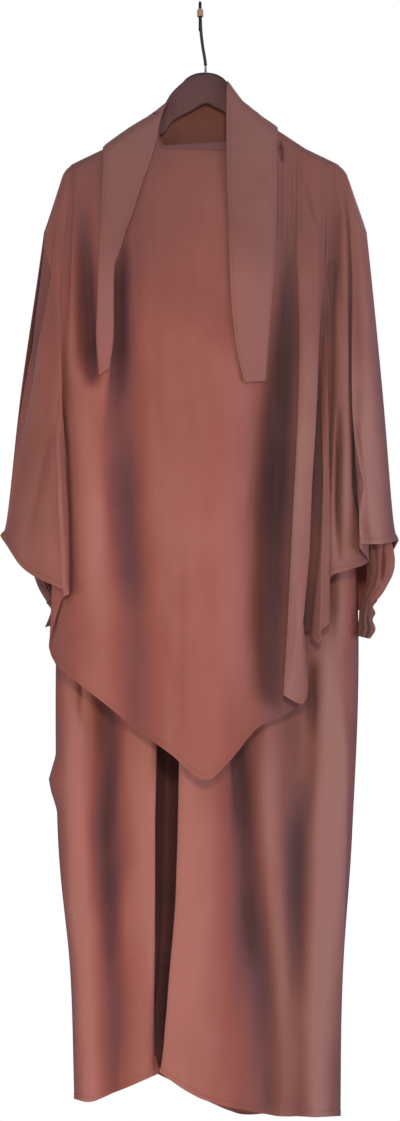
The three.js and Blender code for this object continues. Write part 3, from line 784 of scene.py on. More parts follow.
capeBack = {
    "back": True,
    "lift": lambda x: lift["cape"],
    "neck": lambda x: ridgeAt(x) - 4,
    "levels": [-330, -560, -740],
    "drop": 800,
    "seed": 23,
    "unevenness": 1.4,
    "folds": [
        # left side panel: outer seam, middle, back fold, tuck behind it
        [[-206, -233, -266, -286, -296], [0, 0, 0, 0, 0], -770],
        [[-204, -228, -249, -268, -280], [8, 21, 35, 36, 30], -788],
        [[-201, -218, -228, -238, -246], [14, 32, 52, 60, 60], -826],
        [[-198, -208, -204, -198, -196], [17, 37, 60, 74, 80], -860],
        [[-195, -203, -206, -210, -212], [18, 31, 44, 48, 50], -915],
        # back panel, with a point like the front's
        [[-180, -182, -180, -183, -190], [19, 36, 53, 57, 58], -975],
        [[-150, -150, -144, -140, -140], [19, 32, 46, 56, 64], -1020],
        [[-110, -106, -100, -96, -94], [19, 38, 62, 75, 84], -1060],
        [[-72, -66, -56, -50, -48], [20, 32, 50, 58, 68], -1094],
        [[0, 0, 0, 0, 0], [20, 38, 64, 80, 90], -1126],
        [[72, 64, 55, 48, 46], [20, 32, 48, 58, 66], -1094],
        [[110, 104, 100, 96, 92], [19, 38, 62, 74, 82], -1060],
        [[150, 148, 142, 138, 138], [19, 32, 46, 56, 64], -1020],
        [[180, 182, 180, 182, 188], [19, 36, 53, 57, 58], -975],
        # right side panel
        [[195, 202, 205, 209, 211], [18, 31, 44, 48, 50], -915],
        [[198, 207, 206, 202, 198], [17, 37, 58, 72, 78], -892],
        [[201, 219, 230, 236, 236], [14, 31, 50, 58, 58], -872],
        [[204, 228, 247, 259, 264], [8, 21, 34, 35, 30], -812],
        [[206, 234, 257, 272, 280], [0, 0, 0, 0, 0], -777],
    ],
}
backSeams = {"left": 4, "right": 14}
density = {"capeRows": 150, "robeRows": 190, "main": 12, "side": 11}

lastFront, lastBack = len(capeFront["folds"]) - 1, len(capeBack["folds"]) - 1
capePanels = [
    ("cape_side_front_left", capeFront, 0, frontSeams["left"], density["side"]),
    ("cape_front", capeFront, frontSeams["left"], frontSeams["right"], density["main"]),
    ("cape_side_front_right", capeFront, frontSeams["right"], lastFront, density["side"]),
    ("cape_side_back_left", capeBack, 0, backSeams["left"], density["side"]),
    ("cape_back", capeBack, backSeams["left"], backSeams["right"], density["main"]),
    ("cape_side_back_right", capeBack, backSeams["right"], lastBack, density["side"]),
]
for name, sheet, start, stop, perFold in capePanels:
    makeSheetPiece(name, sheet, start, stop, perFold, density["capeRows"])
print("the cape's six panels are hung")


# ---------- robe ----------
# a small tuck that stands out of the left side seam, the same on the front and the back
sideTuck = [[-213, -1088, 12, 12, 0], [-213, -1122, 14, 14, -12], [-213, -1140, 14, 14, -9],
            [-213, -1168, 12, 12, 0]]

robeFront = {
    "back": False,
    "lift": lambda x: lift["robe"],
    "neck": lambda x: neckLine["robe"] + 0 * x,
    "levels": [-480, -900, -1200, -1400],
    "drop": 1340,
    "seed": 37,
    "unevenness": 1.3,
    "tucked": 0.62,
    "folds": [
        [[-198, -201, -215, -213, -195, -189], [-12, 0, 0, 0, 0, 0], -1586],
        [[-168, -172, -182, -184, -172, -165], [-13, -25, -32, -38, -40, -44], -1580],
        [[-125, -130, -138, -141, -136, -133], [-13, -24, -26, -21, -26, -34], -1570],
        [[-85, -95, -101, -102, -99, -98], [-14, -28, -38, -43, -42, -42], -1554],
        # the deep pleat: left edge, its floor, right edge
        [[-58, -66, -70, -69, -68, -68], [-14, -28, -42, -46, -44, -40], -1540],
        [[-52, -62, -74, -76, -76, -66], [-14, -25, -14, 2, -6, -20], -1542],
        [[-42, -46, -40, -40, -52, -60], [-14, -25, -12, 6, 0, -16], -1543],
        [[-30, -33, -34, -37, -55, -65], [-14, -28, -44, -50, -52, -54], -1535],
        [[0, 0, 1, 0, -2, -3], [-14, -28, -44, -50, -54, -58], -1573],
        [[40, 44, 48, 52, 66, 82], [-14, -25, -30, -28, -32, -42], -1597],
        [[82, 86, 89, 92, 104, 113], [-14, -28, -38, -38, -44, -50], -1599],
        [[122, 124, 125, 126, 132, 139], [-13, -24, -28, -27, -36, -46], -1600],
        [[165, 168, 173, 170, 165, 163], [-13, -24, -34, -39, -44, -46], -1601],
        [[198, 202, 222, 213, 199, 196], [-12, 0, 0, 0, 0, 0], -1611],
    ],
    "marks": [
        sideTuck,
        # floor of the deep pleat
        [[-46, -960, 9, 9, 6], [-47, -1100, 10, 10, 18], [-50, -1300, 10, 9, 22],
         [-57, -1450, 7, 6, 20], [-62, -1530, 5, 4, 6]],
        # soft hollow to the left of the pleat
        [[-126, -930, 16, 16, 2], [-136, -1080, 20, 22, 7], [-136, -1200, 20, 22, 5],
         [-133, -1300, 18, 20, 3], [-126, -1400, 14, 14, 0]],
        # long hollow to the right, which slants outwards
        [[42, -1040, 6, 16, 6], [51, -1100, 7, 20, 13], [63, -1200, 16, 20, 9],
         [70, -1300, 17, 24, 10], [88, -1400, 20, 24, 8], [102, -1500, 22, 22, 8],
         [102, -1575, 14, 16, 6]],
        # second hollow, and the full fold at the right edge
        [[160, -960, 10, 12, 4], [158, -1100, 13, 13, 11], [143, -1200, 14, 16, 9],
         [137, -1300, 13, 16, 9], [135, -1400, 12, 14, 4], [135, -1470, 10, 10, 0]],
        [[200, -1000, 10, 8, 0], [202, -1080, 11, 9, -9], [199, -1200, 11, 9, -11],
         [196, -1320, 11, 9, -10], [192, -1440, 10, 9, -4], [190, -1540, 10, 8, 0]],
        # the cloth just under the cape's two side points: hollows, which through the fold tone also
        # paint the cape's shadow on the robe
        [[-172, -950, 8, 9, 2], [-172, -990, 10, 9, 12], [-170, -1020, 8, 8, 6], [-168, -1050, 6, 6, 0]],
        [[157, -950, 8, 8, 2], [157, -1000, 10, 9, 14], [158, -1040, 8, 8, 6], [158, -1070, 6, 6, 0]],
    ],
}
robeBack = {
    "back": True,
    "lift": lambda x: lift["robe"],
    "neck": lambda x: ridgeAt(x) - 20,
    "levels": [-480, -900, -1200, -1400],
    "drop": 1370,
    "seed": 41,
    "unevenness": 1.6,
    "folds": [
        [[-198, -201, -215, -213, -195, -189], [12, 0, 0, 0, 0, 0], -1586],
        [[-165, -168, -176, -178, -168, -163], [13, 25, 34, 42, 46, 50], -1590],
        [[-120, -122, -128, -130, -126, -124], [13, 22, 26, 26, 32, 40], -1578],
        [[-75, -78, -84, -88, -88, -86], [13, 27, 40, 48, 52, 58], -1560],
        [[-30, -34, -38, -40, -42, -42], [13, 24, 28, 30, 36, 44], -1574],
        [[14, 12, 8, 6, 5, 4], [13, 27, 40, 48, 54, 60], -1604],
        [[70, 63, 56, 52, 52, 52], [15, 23, 28, 28, 36, 46], -1619],
        [[100, 106, 104, 102, 101, 100], [14, 27, 40, 46, 52, 58], -1622],
        [[150, 152, 155, 152, 149, 148], [13, 23, 28, 28, 34, 42], -1622],
        [[178, 180, 192, 187, 180, 178], [13, 21, 32, 36, 40, 44], -1619],
        [[198, 202, 222, 213, 199, 196], [12, 0, 0, 0, 0, 0], -1611],
    ],
    "marks": [sideTuck],
}
for name, sheet in (("robe_front", robeFront), ("robe_back", robeBack)):
    stop = len(sheet["folds"]) - 1
    makeSheetPiece(name, sheet, 0, stop, density["main"], density["robeRows"])
print("the robe's front and back are hung")


# ---------- ties ----------
# Three lines of [x, z] from the neck to the tip; a height of 0 stands for the ridge.
ties = {
    "columns": 30,
    "rows": 110,
    "neckRows": 26,
    "neckShare": 0.16,  # the part of the length over the ridge, with closer rows
    "edge": 3.4,  # how far the tie's middle surface stands off the cape's, at its edges
    "middle": 5.2,
    "thick": 2.6,
    "thinEdge": 0.5,
    "bead": 10,  # how late the edges and the end round off
    "endBead": 60,
    "unevenness": 0.7,
    "onHanger": {"heights": (-200, -165), "half": (45, 75), "nearer": 0.55},
    "falls": (0.25, 0.7),  # where down its length a tie comes forward to hang proud
    "tone": {"top": 0.4, "more": 0.16, "between": (330, 420)},  # painted light: lighter below the collarbone, where the tie's lower part catches more of the light
    "hem": 2,  # columns from an edge to its stitches
    "hemFrom": 14,  # rows
    "left": {
        "lines": [
            [[-146, 0], [-147, -240], [-148, -275], [-150, -315], [-152, -350], [-153, -380],
             [-154, -430], [-155, -490], [-151, -543]],
            [[-96, 0], [-110, -230], [-119, -272], [-130, -314], [-138, -352], [-142, -382],
             [-143, -430], [-143, -490], [-145, -538]],
            [[-46, 0], [-72, -211], [-89, -262], [-107, -318], [-122, -362], [-131, -386],
             [-132, -430], [-132, -486], [-138, -533]],
        ],
        "proud": 5.0,
        "seed": 51,
        "marks": [],
    },
    "right": {
        "lines": [
            [[31, 0], [30, -225], [32, -300], [34, -368], [37, -440], [44, -505], [54, -553]],
            [[68, 0], [66, -225], [68, -300], [67, -367], [66, -440], [67, -505], [71, -551]],
            [[104, 0], [103, -225], [103, -300], [100, -366], [94, -440], [89, -505], [86, -550]],
        ],
        "proud": 2.5,
        "seed": 53,
        "marks": [
            [[113, -206, 2, 9, 0], [104, -220, 2, 12, 3.2], [84, -250, 2, 14, 3.6],
             [66, -276, 2, 14, 3.0], [56, -294, 2, 12, 0]],
        ],
    },
}
# The cape as it is under the ties: closed at the neck, and lower over the hanger's middle.
overRidge = {"lift": 0.4, "half": (40, 70)}
underTies = {
    **capeFront,
    "neckClosed": True,
    "lift": lambda x: overRidge["lift"]
    + (lift["cape"] - overRidge["lift"]) * ramp(np.abs(x), *overRidge["half"]),
}
search = {"steps": 22, "u": (7 / 28, 15 / 28), "w": (0, 0.9)}  # halved at every step


def placeOnSheet(sheet, x, z):
    # The u and w of the point of the sheet that stands at x, z.
    u0, u1 = (np.full(x.shape, end) for end in search["u"])
    for _ in range(search["steps"]):
        u = (u0 + u1) / 2
        w0, w1 = (np.full(x.shape, float(end)) for end in search["w"])
        for _ in range(search["steps"]):
            w = (w0 + w1) / 2
            low = sheetPoints(sheet, u, w)[..., 2] > z
            w0, w1 = np.where(low, w, w0), np.where(low, w1, w)
        w = np.where(z < 0, w, 0)
        short = sheetPoints(sheet, u, w)[..., 0] < x
        u0, u1 = np.where(short, u, u0), np.where(short, u1, u)
    return u, w


def sheetNormals(sheet, u, w, e=0.002):
    du = sheetPoints(sheet, u + e, w) - sheetPoints(sheet, u - e, w)
    dw = sheetPoints(sheet, u, w + e) - sheetPoints(sheet, u, np.maximum(w - e, 0))
    return unit(np.cross(du, dw) * (1 if sheet["back"] else -1))


def tieSurface(tie):
    lines = np.array(tie["lines"], float)
    u, w = placeOnSheet(underTies, lines[..., 0], lines[..., 1])
    rows, share = ties["neckRows"], ties["neckShare"]
    neckDown, restDown = np.linspace(0, share, rows), np.linspace(share, 1, ties["rows"] - rows + 1)
    down = np.concatenate([neckDown[:-1], restDown])
    over = np.linspace(0, 1, ties["columns"] + 1)
    placed = np.stack([through(np.stack([u[i], w[i]], -1), down) for i in range(3)])
    grid = through(placed.reshape(3, -1), over).reshape(len(over), len(down), 2).transpose(1, 0, 2)
    u, w = grid[..., 0], np.maximum(grid[..., 1], 0)
    off = ties["edge"] + (ties["middle"] - ties["edge"]) * (1 - (2 * over - 1) ** 2)
    under = sheetPoints(underTies, u, w)
    near = ties["onHanger"]
    onHanger = ramp(under[..., 2], *near["heights"]) * (1 - ramp(np.abs(under[..., 0]), *near["half"]))
    off = off[None, :] * (1 - near["nearer"] * onHanger)
    points = under + sheetNormals(underTies, u, w) * off[..., None]
    points[..., 1] -= (tie["proud"] * ramp(down, *ties["falls"]))[:, None]
    normals = outward(points, False, seams=False)
    points = dent(points, normals, tie["marks"])
    overAll, downAll = np.broadcast_arrays(over[None, :], down[:, None])
    wave = drift(points, overAll, downAll, tie["seed"], ties["unevenness"])
    points = points + normals * wave[..., None]
    normals = outward(points, False, seams=False)
    end = edgeBead(np.maximum(down, 0.5), ties["endBead"])
    bead = edgeBead(over, ties["bead"])[None, :] * end[:, None]
    return points, normals, ties["thinEdge"] + (ties["thick"] - ties["thinEdge"]) * bead


for side in ("left", "right"):
    points, normals, thick = tieSurface(ties[side])
    # painted light: the ties are lighter lower down, deeper near the shoulders
    look = ties["tone"]
    tone = look["top"] + look["more"] * ramp(-points[..., 2], *look["between"])
    name = "tie_" + side
    clothPieces[name] = wallFrom(name, points, normals, thick, tone, finish["crepe_pressed"])
    for column in (ties["hem"], ties["columns"] - ties["hem"]):
        stitchLines.append(sewnOn(points, normals, thick)[ties["hemFrom"] : -1, column])
print("the ties are laid")


# ---------- head band and neck binding ----------
headBand = {
    "y": -8.6,
    "slope": 3,  # its lower edge stands this much further forward
    "belly": {"depth": 2.2, "power": 0.8},
    "ripple": {"height": 0.5, "perMm": 0.42},
    "out": 0,
    "thick": 1.6,
    "thinEdge": 0.6,
    "bead": 8,
    # painted shade: a deep tone, as the band lies in shadow
    "tone": 0.16,
    "columns": 61,
    "rows": 17,
    "sewn": (-4, 0),  # the row of the stitches, and the column they start in
    "stops": [  # x, top, bottom
        [-70, -160, -192], [-58, -145, -186], [-46, -127, -170], [-22, -107, -157],
        [0, -102.5, -145], [14, -105, -150], [26, -112, -156], [33, -128, -162],
    ],
}


def addBand(name, look, points, down):
    normals = outward(points, False, seams=False)
    points = points + normals * look["out"]
    bead = edgeBead(down, look["bead"])[:, None]
    thick = look["thinEdge"] + (look["thick"] - look["thinEdge"]) * bead
    # the bands wear the darker copy of the crepe, which is painted shade
    clothPieces[name] = wallFrom(name, points, normals, thick, look["tone"], finish["crepe_shade"])
    row, first = look["sewn"]
    stitchLines.append(sewnOn(points, normals, thick)[row, first:])


def makeHeadBand():
    over = np.linspace(0, 1, headBand["columns"])
    down = np.linspace(0, 1, headBand["rows"])
    x, top, bottom = through(headBand["stops"], over).T
    z = top[None, :] + (bottom - top)[None, :] * down[:, None]
    belly, ripple = headBand["belly"], headBand["ripple"]
    belly = belly["depth"] * np.sin(math.pi * down) ** belly["power"]
    folds = ripple["height"] * np.sin(ripple["perMm"] * x)[None, :] * down[:, None]
    y = headBand["y"] - (headBand["slope"] * down + belly)[:, None] - folds
    points = np.stack(np.broadcast_arrays(x[None, :], y, z), axis=-1)
    addBand("cape_head_band", headBand, points, down)


binding = {
    "from": 9.4,  # in folds of the cape's front
    "to": 12.2,
    "out": 1.7,
    "depth": 13,
    "narrow": 0.12,
    "widens": (0.1, 0.9),
    "thick": 1.2,
    "thinEdge": 0.5,
    "bead": 6,
    "tone": 0.35,
    "columns": 70,
    "rows": 15,
    "sewn": (-4, 20),
}


def makeBinding():
    # A strip along the neck edge, narrow under the left tie and full width under the right one.
    over = np.linspace(0, 1, binding["columns"])
    down = np.linspace(0, 1, binding["rows"])
    u = (binding["from"] + (binding["to"] - binding["from"]) * over)[None, :] / lastFront
    narrow = binding["narrow"]
    width = binding["depth"] * (narrow + (1 - narrow) * ramp(over, *binding["widens"]))
    share = turn["share"] * (width[None, :] * down[:, None] / turn["drop"]) ** (1 / turn["ease"])
    addBand("cape_neck_binding", binding, sheetPoints(capeFront, u, share), down)


makeHeadBand()
makeBinding()
print("the head band and neck binding are in place")


# ---------- sleeves and cuffs ----------
# Each ring is [centre x, y, z, tilt, half width, half depth]: tilt 0 lies level, 90 upright.
sleeves = {
    "sides": 84,
    "steps": 104,
    "waves": [[5, 0.04, 0.0, 0.0], [9, 0.018, 0.7, 2.5], [14, 0.012, 2.1, -4.0]],
    "swell": (0.2, 0.7),  # the waves come in over this part of the length
    "gather": {"count": 19, "share": 0.06, "over": (0.82, 1)},
    "left": [
        [-201.2, 0, -366, -90.7, 112, 12],
        [-213, 0, -400, -84.6, 100, 16],
        [-222.5, 0, -472, -70.6, 56, 21],
        [-228.5, 0, -540, -42, 30, 24],
        [-231, 0, -611, -5, 22, 26],
        [-236, 0, -740, 0, 22, 27],
        [-234, -3, -800, 6, 19, 24],
        [-230, -9, -836, 20, 13.5, 18],
        [-216, -17, -868, 28, 8.5, 10.5],
    ],
    "right": [
        [202.4, 0, -366, 90.7, 112, 12],
        [214, 0, -400, 84.6, 100, 16],
        [222, 0, -474, 72, 52, 20],
        [229, 0, -542, 42, 24, 21],
        [235, 0, -615, 5, 19, 25],
        [243, 0, -740, 0, 20, 27],
        [254, 0, -806, -4, 21, 26],
        [248, -1, -840, -18, 15, 20],
        [235.5, -2, -866, -26, 8.5, 11],
    ],
    "marks": {
        "left": [],
        "right": [[[266, -770, 3, 3, 4], [264, -800, 4, 4, 9], [262, -828, 3, 3, 7],
                   [261, -842, 3, 3, 0]]],
    },
}
cuffs = {
    "sides": 120,
    "steps": 34,
    "waves": [[7, 0.14, 0.3, 1.2], [11, 0.07, 1.9, -2.0], [23, 0.03, 0.0, 0.0]],
    "swell": (0.2, 0.7),
    "gather": {"count": 23, "share": 0.07, "over": (0.75, 0.25)},
    "left": [
        [-219.5, -15.8, -861, 27, 10.6, 12.6],
        [-214.6, -17.5, -870.5, 28, 8.6, 10.4],
        [-213.2, -18, -877, 26, 9.4, 11.5],
        [-214, -19, -886, 20, 10.5, 13],
        [-216.5, -20, -898, 15, 12.5, 14],
    ],
    "right": [
        [239.2, -1.6, -859, -24, 11.4, 13],
        [234.6, -2, -868.3, -26, 9.4, 11.4],
        [235.4, -2, -877, -22, 11.5, 13],
        [232.8, -2, -889, -14, 9.0, 14],
        [234.4, -2, -903, -12, 11.2, 16],
        [230.4, -2, -917, -12, 8.2, 16],
    ],
}


def tubeSurface(rings, look, start):
    t = np.linspace(0, 1, look["steps"] + 1)
    x, y, z, tilt, halfWidth, halfDepth = (v[:, None] for v in through(rings, t).T)
    t = t[:, None]
    a = start + 2 * math.pi * np.arange(look["sides"])[None, :] / look["sides"]
    waves = sum(
        share * np.cos(count * a + phase + turned * t) for count, share, phase, turned in look["waves"]
    )
    gather = look["gather"]
    pulled = gather["share"] * ramp(t, *gather["over"])
    wave = 1 + ramp(t, *look["swell"]) * waves + pulled * np.cos(gather["count"] * a)
    inset = design["cloth"] / 2
    sideways = np.cos(a) * (halfWidth * wave - inset)
    deep = np.sin(a) * (halfDepth * wave - inset)
    angle = np.radians(tilt)
    ring = (x + sideways * np.cos(angle), y + deep, z + sideways * np.sin(angle))
    return tuple(np.stack(np.broadcast_arrays(*parts), axis=-1) for parts in (ring, (x, y, z)))


def tubeNormals(points, centres):
    along = np.gradient(points, axis=0)
    over = np.roll(points, -1, axis=1) - np.roll(points, 1, axis=1)
    n = unit(np.cross(over, along))
    return n * np.sign(np.sum(n * (points - centres), axis=(1, 2)).sum())


# The rings of each side start at the inner arm. The left arm's cloth has painted shade, a deeper tone
# than the right's.
for side, start, tone in (("left", 0.0, 0.16), ("right", math.pi, 0.36)):
    for part, look, coat in (("sleeve", sleeves, "crepe"), ("cuff", cuffs, "crepe_shade")):
        points, centres = tubeSurface(look[side], look, start)
        marks = sleeves["marks"][side] if part == "sleeve" else []
        points = dent(points, tubeNormals(points, centres), marks)
        name = f"robe_{part}_{side}"
        clothPieces[name] = wallFrom(
            name, points, tubeNormals(points, centres), design["cloth"], tone, finish[coat], closed=True
        )
print("the sleeves and cuffs are on")


# ---------- hanger, hook and its sleeve ----------
hanger = {
    "thick": 12, "bar": 24, "tipBar": 15, "tip": 196, "under": 6, "hub": 14, "hubHalf": 45,
    "smooth": 9, "underPoints": 80, "round": 2.8, "roundSteps": 4, "sharpest": 60,
}


def makeHanger():
    count = (len(hangerTop) - 1) * hanger["smooth"]
    half = through(hangerTop, np.linspace(0, 1, count + 1))
    top = np.concatenate([half[:0:-1] * [-1, 1], half])
    x = np.linspace(hanger["tip"], -hanger["tip"], hanger["underPoints"])
    reach = np.abs(x)
    bar = hanger["bar"] + (hanger["tipBar"] - hanger["bar"]) * reach / hanger["tip"]
    hub = hanger["hub"] * np.exp(-((x / hanger["hubHalf"]) ** 2))
    under = ridgeAt(x) - bar - hanger["under"] + hub
    outline = np.concatenate([top, np.stack([x, under], axis=-1)])
    mesh = bpy.data.meshes.new("hanger_body")
    shape = bmesh.new()
    depth = hanger["thick"] / 2
    face = shape.faces.new(
        [shape.verts.new(((px + design["lean"]) * mm, -depth * mm, pz * mm)) for px, pz in outline]
    )
    made = bmesh.ops.extrude_face_region(shape, geom=[face])
    moved = [v for v in made["geom"] if isinstance(v, bmesh.types.BMVert)]
    bmesh.ops.translate(shape, verts=moved, vec=(0, 2 * depth * mm, 0))
    bmesh.ops.recalc_face_normals(shape, faces=shape.faces)
    shape.to_mesh(mesh)
    shape.free()
    mesh.shade_smooth()
    mesh.materials.append(finish["black_lacquer_on_beech"])
    body = bpy.data.objects.new("hanger_body_turned", mesh)
    scene.collection.objects.link(body)
    bevel = body.modifiers.new("rounded", "BEVEL")
    bevel.width = hanger["round"] * mm
    bevel.segments = hanger["roundSteps"]
    bevel.limit_method = "ANGLE"
    bevel.angle_limit = math.radians(hanger["sharpest"])
    return body


def stripModifiers(piece, name):
    # The evaluated shape as a plain mesh, so that nothing is left to work out later.
    bpy.context.view_layer.update()
    graph = bpy.context.evaluated_depsgraph_get()
    mesh = bpy.data.meshes.new_from_object(piece.evaluated_get(graph))
    mesh.name = name
    plain = bpy.data.objects.new(name, mesh)
    scene.collection.objects.link(plain)
    bpy.data.objects.remove(piece)
    return plain


def newTree(name, inputs):
    tree = bpy.data.node_groups.new(name, "GeometryNodeTree")
    face = tree.interface
    for label, kind in (("Geometry", "Geometry"), *inputs):
        face.new_socket(label, in_out="INPUT", socket_type="NodeSocket" + kind)
    face.new_socket("Geometry", in_out="OUTPUT", socket_type="NodeSocketGeometry")
    return tree, addNode(tree, "NodeGroupInput").outputs


def endTree(tree, geometry, coat):
    # One real mesh, shaded smooth, in one material.
    real = addNode(tree, "GeometryNodeRealizeInstances", inputs={"Geometry": geometry})
    soft = addNode(tree, "GeometryNodeSetShadeSmooth", inputs={"Geometry": real.outputs[0]})
    inputs = {"Geometry": soft.outputs[0], "Material": coat}
    coated = addNode(tree, "GeometryNodeSetMaterial", inputs=inputs)
    addNode(tree, "NodeGroupOutput", inputs={"Geometry": coated.outputs[0]})
    return tree


def runTree(name, tree, piece, values):
    modifier = piece.modifiers.new("nodes", "NODES")
    modifier.node_group = tree
    for item in tree.interface.items_tree:
        if item.in_out == "INPUT" and item.name in values:
            modifier[item.identifier] = values[item.name]
    return stripModifiers(piece, name)


def lineObject(name, lines, radii=None):
    # Loose edges through the points of each line, in millimetres.
    starts = np.cumsum([0] + [len(line) for line in lines])
    edges = [(a + k, a + k + 1) for a, line in zip(starts, lines) for k in range(len(line) - 1)]
    points = np.concatenate(lines).astype(float)
    points[:, 0] += design["lean"]
    mesh = bpy.data.meshes.new(name)
    mesh.from_pydata((points * mm).tolist(), edges, [])
    if radii is not None:
        layer = mesh.attributes.new("wireRadius", "FLOAT", "POINT")
        layer.data.foreach_set("value", (np.asarray(radii) * mm).astype(np.float32))
    piece = bpy.data.objects.new(name, mesh)
    scene.collection.objects.link(piece)
    return piece


def wireTree():
    # A round wire along a path, as thick at each point as the path's own attribute says.
    tree, given = newTree("wireAlongPath", [("Sides", "Int"), ("Coat", "Material")])
    path = addNode(tree, "GeometryNodeMeshToCurve", inputs={"Mesh": given["Geometry"]})
    radius = addNode(
        tree, "GeometryNodeInputNamedAttribute", {"data_type": "FLOAT"}, {"Name": "wireRadius"}
    )
    circle = {"Resolution": given["Sides"], "Radius": 1.0}
    section = addNode(tree, "GeometryNodeCurvePrimitiveCircle", inputs=circle)
    swept = {
        "Curve": path.outputs[0],
        "Profile Curve": section.outputs[0],
        "Scale": radius.outputs["Attribute"],
        "Fill Caps": True,
    }
    wire = addNode(tree, "GeometryNodeCurveToMesh", inputs=swept)
    return endTree(tree, wire.outputs[0], given["Coat"])


hook = {
    "wire": 4.6,
    "stem": 3.4,  # the plated thread that screws into the hanger
    "stemLength": 10,
    "thread": {"turns": 12, "depth": 0.18, "points": 121},
    "neck": {"share": 0.55, "over": (-1.5, 1.2)},  # the wire is thinner where it meets the stem
    "sides": 24,
    "points": 181,
    "path": [
        [1, 0, -98.4], [1, 0, -91], [0, -2, -80], [-3, -9, -64], [-5.5, -17, -46],
        [-6.5, -20, -28], [-7, -17, -12], [-7, -9, -0.5], [-7, 0, 2.3], [-7, 9, -0.5],
        [-7, 17, -11], [-7, 20, -24], [-7, 21, -34],
    ],
}
hookRing = {
    "outer": 9, "length": 10, "z": -17, "wall": 1.4, "thinEdge": 0.4, "sides": 48, "rings": 33,
    "bead": 12, "ripple": 0.06, "ripples": 26,
    "fine": 601, "rising": 330, "every": 4,  # points along the hook, on its rise, and the step
}


def bendWire(name, tree, path, radii, coat):
    line = lineObject(name + "_path", [path], radii)
    return runTree(name, tree, line, {"Sides": hook["sides"], "Coat": finish[coat]})


def makeHook(tree):
    path = through(hook["path"], np.linspace(0, 1, hook["points"]))
    isStem = lengths(path[:, None, :], 0)[:, 0] < hook["stemLength"]
    wirePath = path[np.argmax(~isStem) - 1 :]
    run = lengths(wirePath[:, None, :], 0)[:, 0]
    full, neck = hook["wire"] / 2, hook["neck"]
    rounding = np.clip((run[-1] - run) / full, 0, 1)
    tip = np.sqrt(np.clip(1 - (1 - rounding) ** 2, 0.02, 1))
    start = neck["share"] + (1 - neck["share"]) * ramp(run, *neck["over"])
    wire = bendWire("hook_wire_bent", tree, wirePath, full * tip * start, "black_powder_coated_steel")
    thread = hook["thread"]
    fine = through(path[isStem], np.linspace(0, 1, thread["points"]))
    turned = np.linspace(0, 2 * math.pi * thread["turns"], thread["points"])
    radii = hook["stem"] / 2 + thread["depth"] * np.sin(turned)
    return wire, bendWire("hook_stem_threaded", tree, fine, radii, "bright_zinc_on_steel")


def makeHookRing():
    # A short soft tube over the wire's rising part, with rounded ends.
    path = through(hook["path"], np.linspace(0, 1, hookRing["fine"]))[: hookRing["rising"]]
    ends = (hookRing["z"] - hookRing["length"] / 2, hookRing["z"] + hookRing["length"] / 2)
    low, high = (np.argmin(np.abs(path[:, 2] - z)) for z in ends)
    t = np.linspace(0, 1, hookRing["rings"])
    core = through(path[low : high + 1 : hookRing["every"]], t)
    tangent = unit(np.gradient(core, axis=0))
    other = unit(np.cross(tangent, [1.0, 0, 0]))
    sideways = unit(np.cross(other, tangent))
    a = 2 * math.pi * np.arange(hookRing["sides"])[None, :, None] / hookRing["sides"]
    ripple = hookRing["ripple"] * np.sin(hookRing["ripples"] * t)
    radius = (hookRing["outer"] - hookRing["wall"]) / 2 + ripple
    directions = np.cos(a) * sideways[:, None, :] + np.sin(a) * other[:, None, :]
    points = core[:, None, :] + directions * radius[:, None, None]
    wall, thin = hookRing["wall"], hookRing["thinEdge"]
    thick = thin + (wall - thin) * edgeBead(t, hookRing["bead"])[:, None]
    coat = finish["beige_pvc_sleeving"]
    return wallFrom("hook_ring_tube", points, directions, thick, 0.5, coat, closed=True)


hangerBody = stripModifiers(makeHanger(), "hanger_body_rounded")
hookWire, hookStem = makeHook(wireTree())
ringTube = makeHookRing()
print("the hanger and hook are made")


# ---------- stitches ----------
# Lock stitches in polyester thread, really 0.25 mm thick and drawn a little heavier.
stitches = {
    "length": 3.0, "gap": 1.1, "radius": 0.32,
    "color": "#74463f", "ply": "#8d584f", "plyScale": 1400.0, "roughness": 0.5, "sheen": 0.15,
}


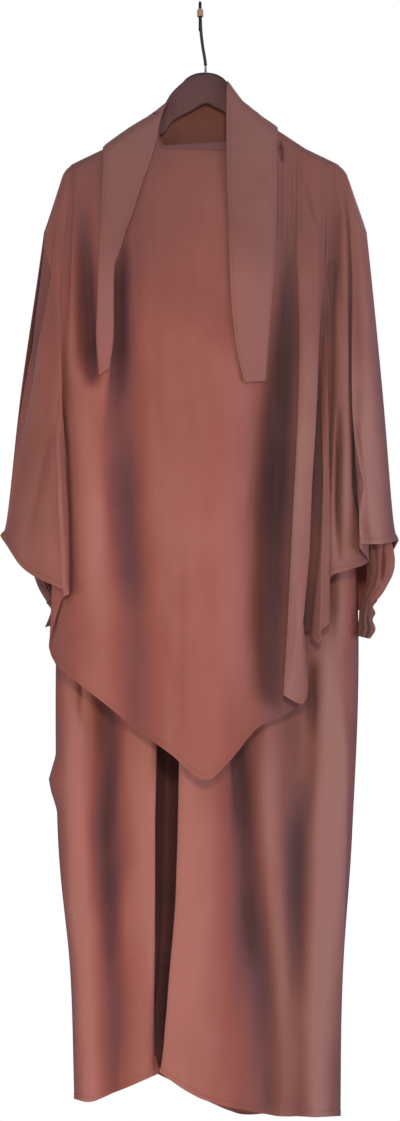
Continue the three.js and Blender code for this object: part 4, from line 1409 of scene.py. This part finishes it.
def threadMaterial():
    material, tree = newMaterial("polyester_sewing_thread")  # twisted, with a slight gloss
    place = addNode(tree, "ShaderNodeTexCoord").outputs["Object"]
    ply = noiseNode(tree, place, stitches["plyScale"], detail=1.0)
    surface = {
        "Base Color": mixColors(tree, ply, srgb(stitches["color"]), srgb(stitches["ply"])),
        "Roughness": stitches["roughness"],
        "Sheen Weight": stitches["sheen"],
    }
    addSurface(tree, surface)
    return material


def stitchTree():
    # One small rounded stitch at each step along the lines.
    sizes = [(label, "Float") for label in ("Length", "Gap", "Radius")]
    tree, given = newTree("stitchRow", [*sizes, ("Thread", "Material")])
    path = addNode(tree, "GeometryNodeMeshToCurve", inputs={"Mesh": given["Geometry"]})
    pitch = mathNode(tree, "ADD", given["Length"], given["Gap"])
    spacing = {"Curve": path.outputs[0], "Length": pitch}
    steps = addNode(tree, "GeometryNodeCurveToPoints", {"mode": "LENGTH"}, spacing).outputs
    ball = {"Segments": 6, "Rings": 4, "Radius": 1.0}
    half = mathNode(tree, "MULTIPLY", given["Length"], 0.5)
    size = {"X": given["Radius"], "Y": given["Radius"], "Z": half}
    placed = {
        "Points": steps["Points"],
        "Instance": addNode(tree, "GeometryNodeMeshUVSphere", inputs=ball).outputs["Mesh"],
        "Rotation": steps["Rotation"],
        "Scale": addNode(tree, "ShaderNodeCombineXYZ", inputs=size).outputs[0],
    }
    beads = addNode(tree, "GeometryNodeInstanceOnPoints", inputs=placed)
    return endTree(tree, beads.outputs[0], given["Thread"])


stitchSizes = {label.capitalize(): stitches[label] * mm for label in ("length", "gap", "radius")}
seams = runTree(
    "hem_stitches",
    stitchTree(),
    lineObject("stitchPaths", stitchLines),
    {**stitchSizes, "Thread": threadMaterial()},
)
print("the stitches are sewn:", len(seams.data.polygons), "faces")


for node, piece in clothPieces.items():
    piece.name = node + "_cloth"
    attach(piece, "root")
    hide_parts(node)
for piece, node, slot in (
    (hangerBody, "hanger_body", "hanger_coat"),
    (hookWire, "hanger_hook", "hook_wire"),
    (hookStem, "hanger_hook", "hook_wire"),
    (ringTube, "hook_sleeve", "hook_ring"),
):
    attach(piece, "root")
    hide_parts(node)
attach(seams, "root")

print("every piece rides on the garment")
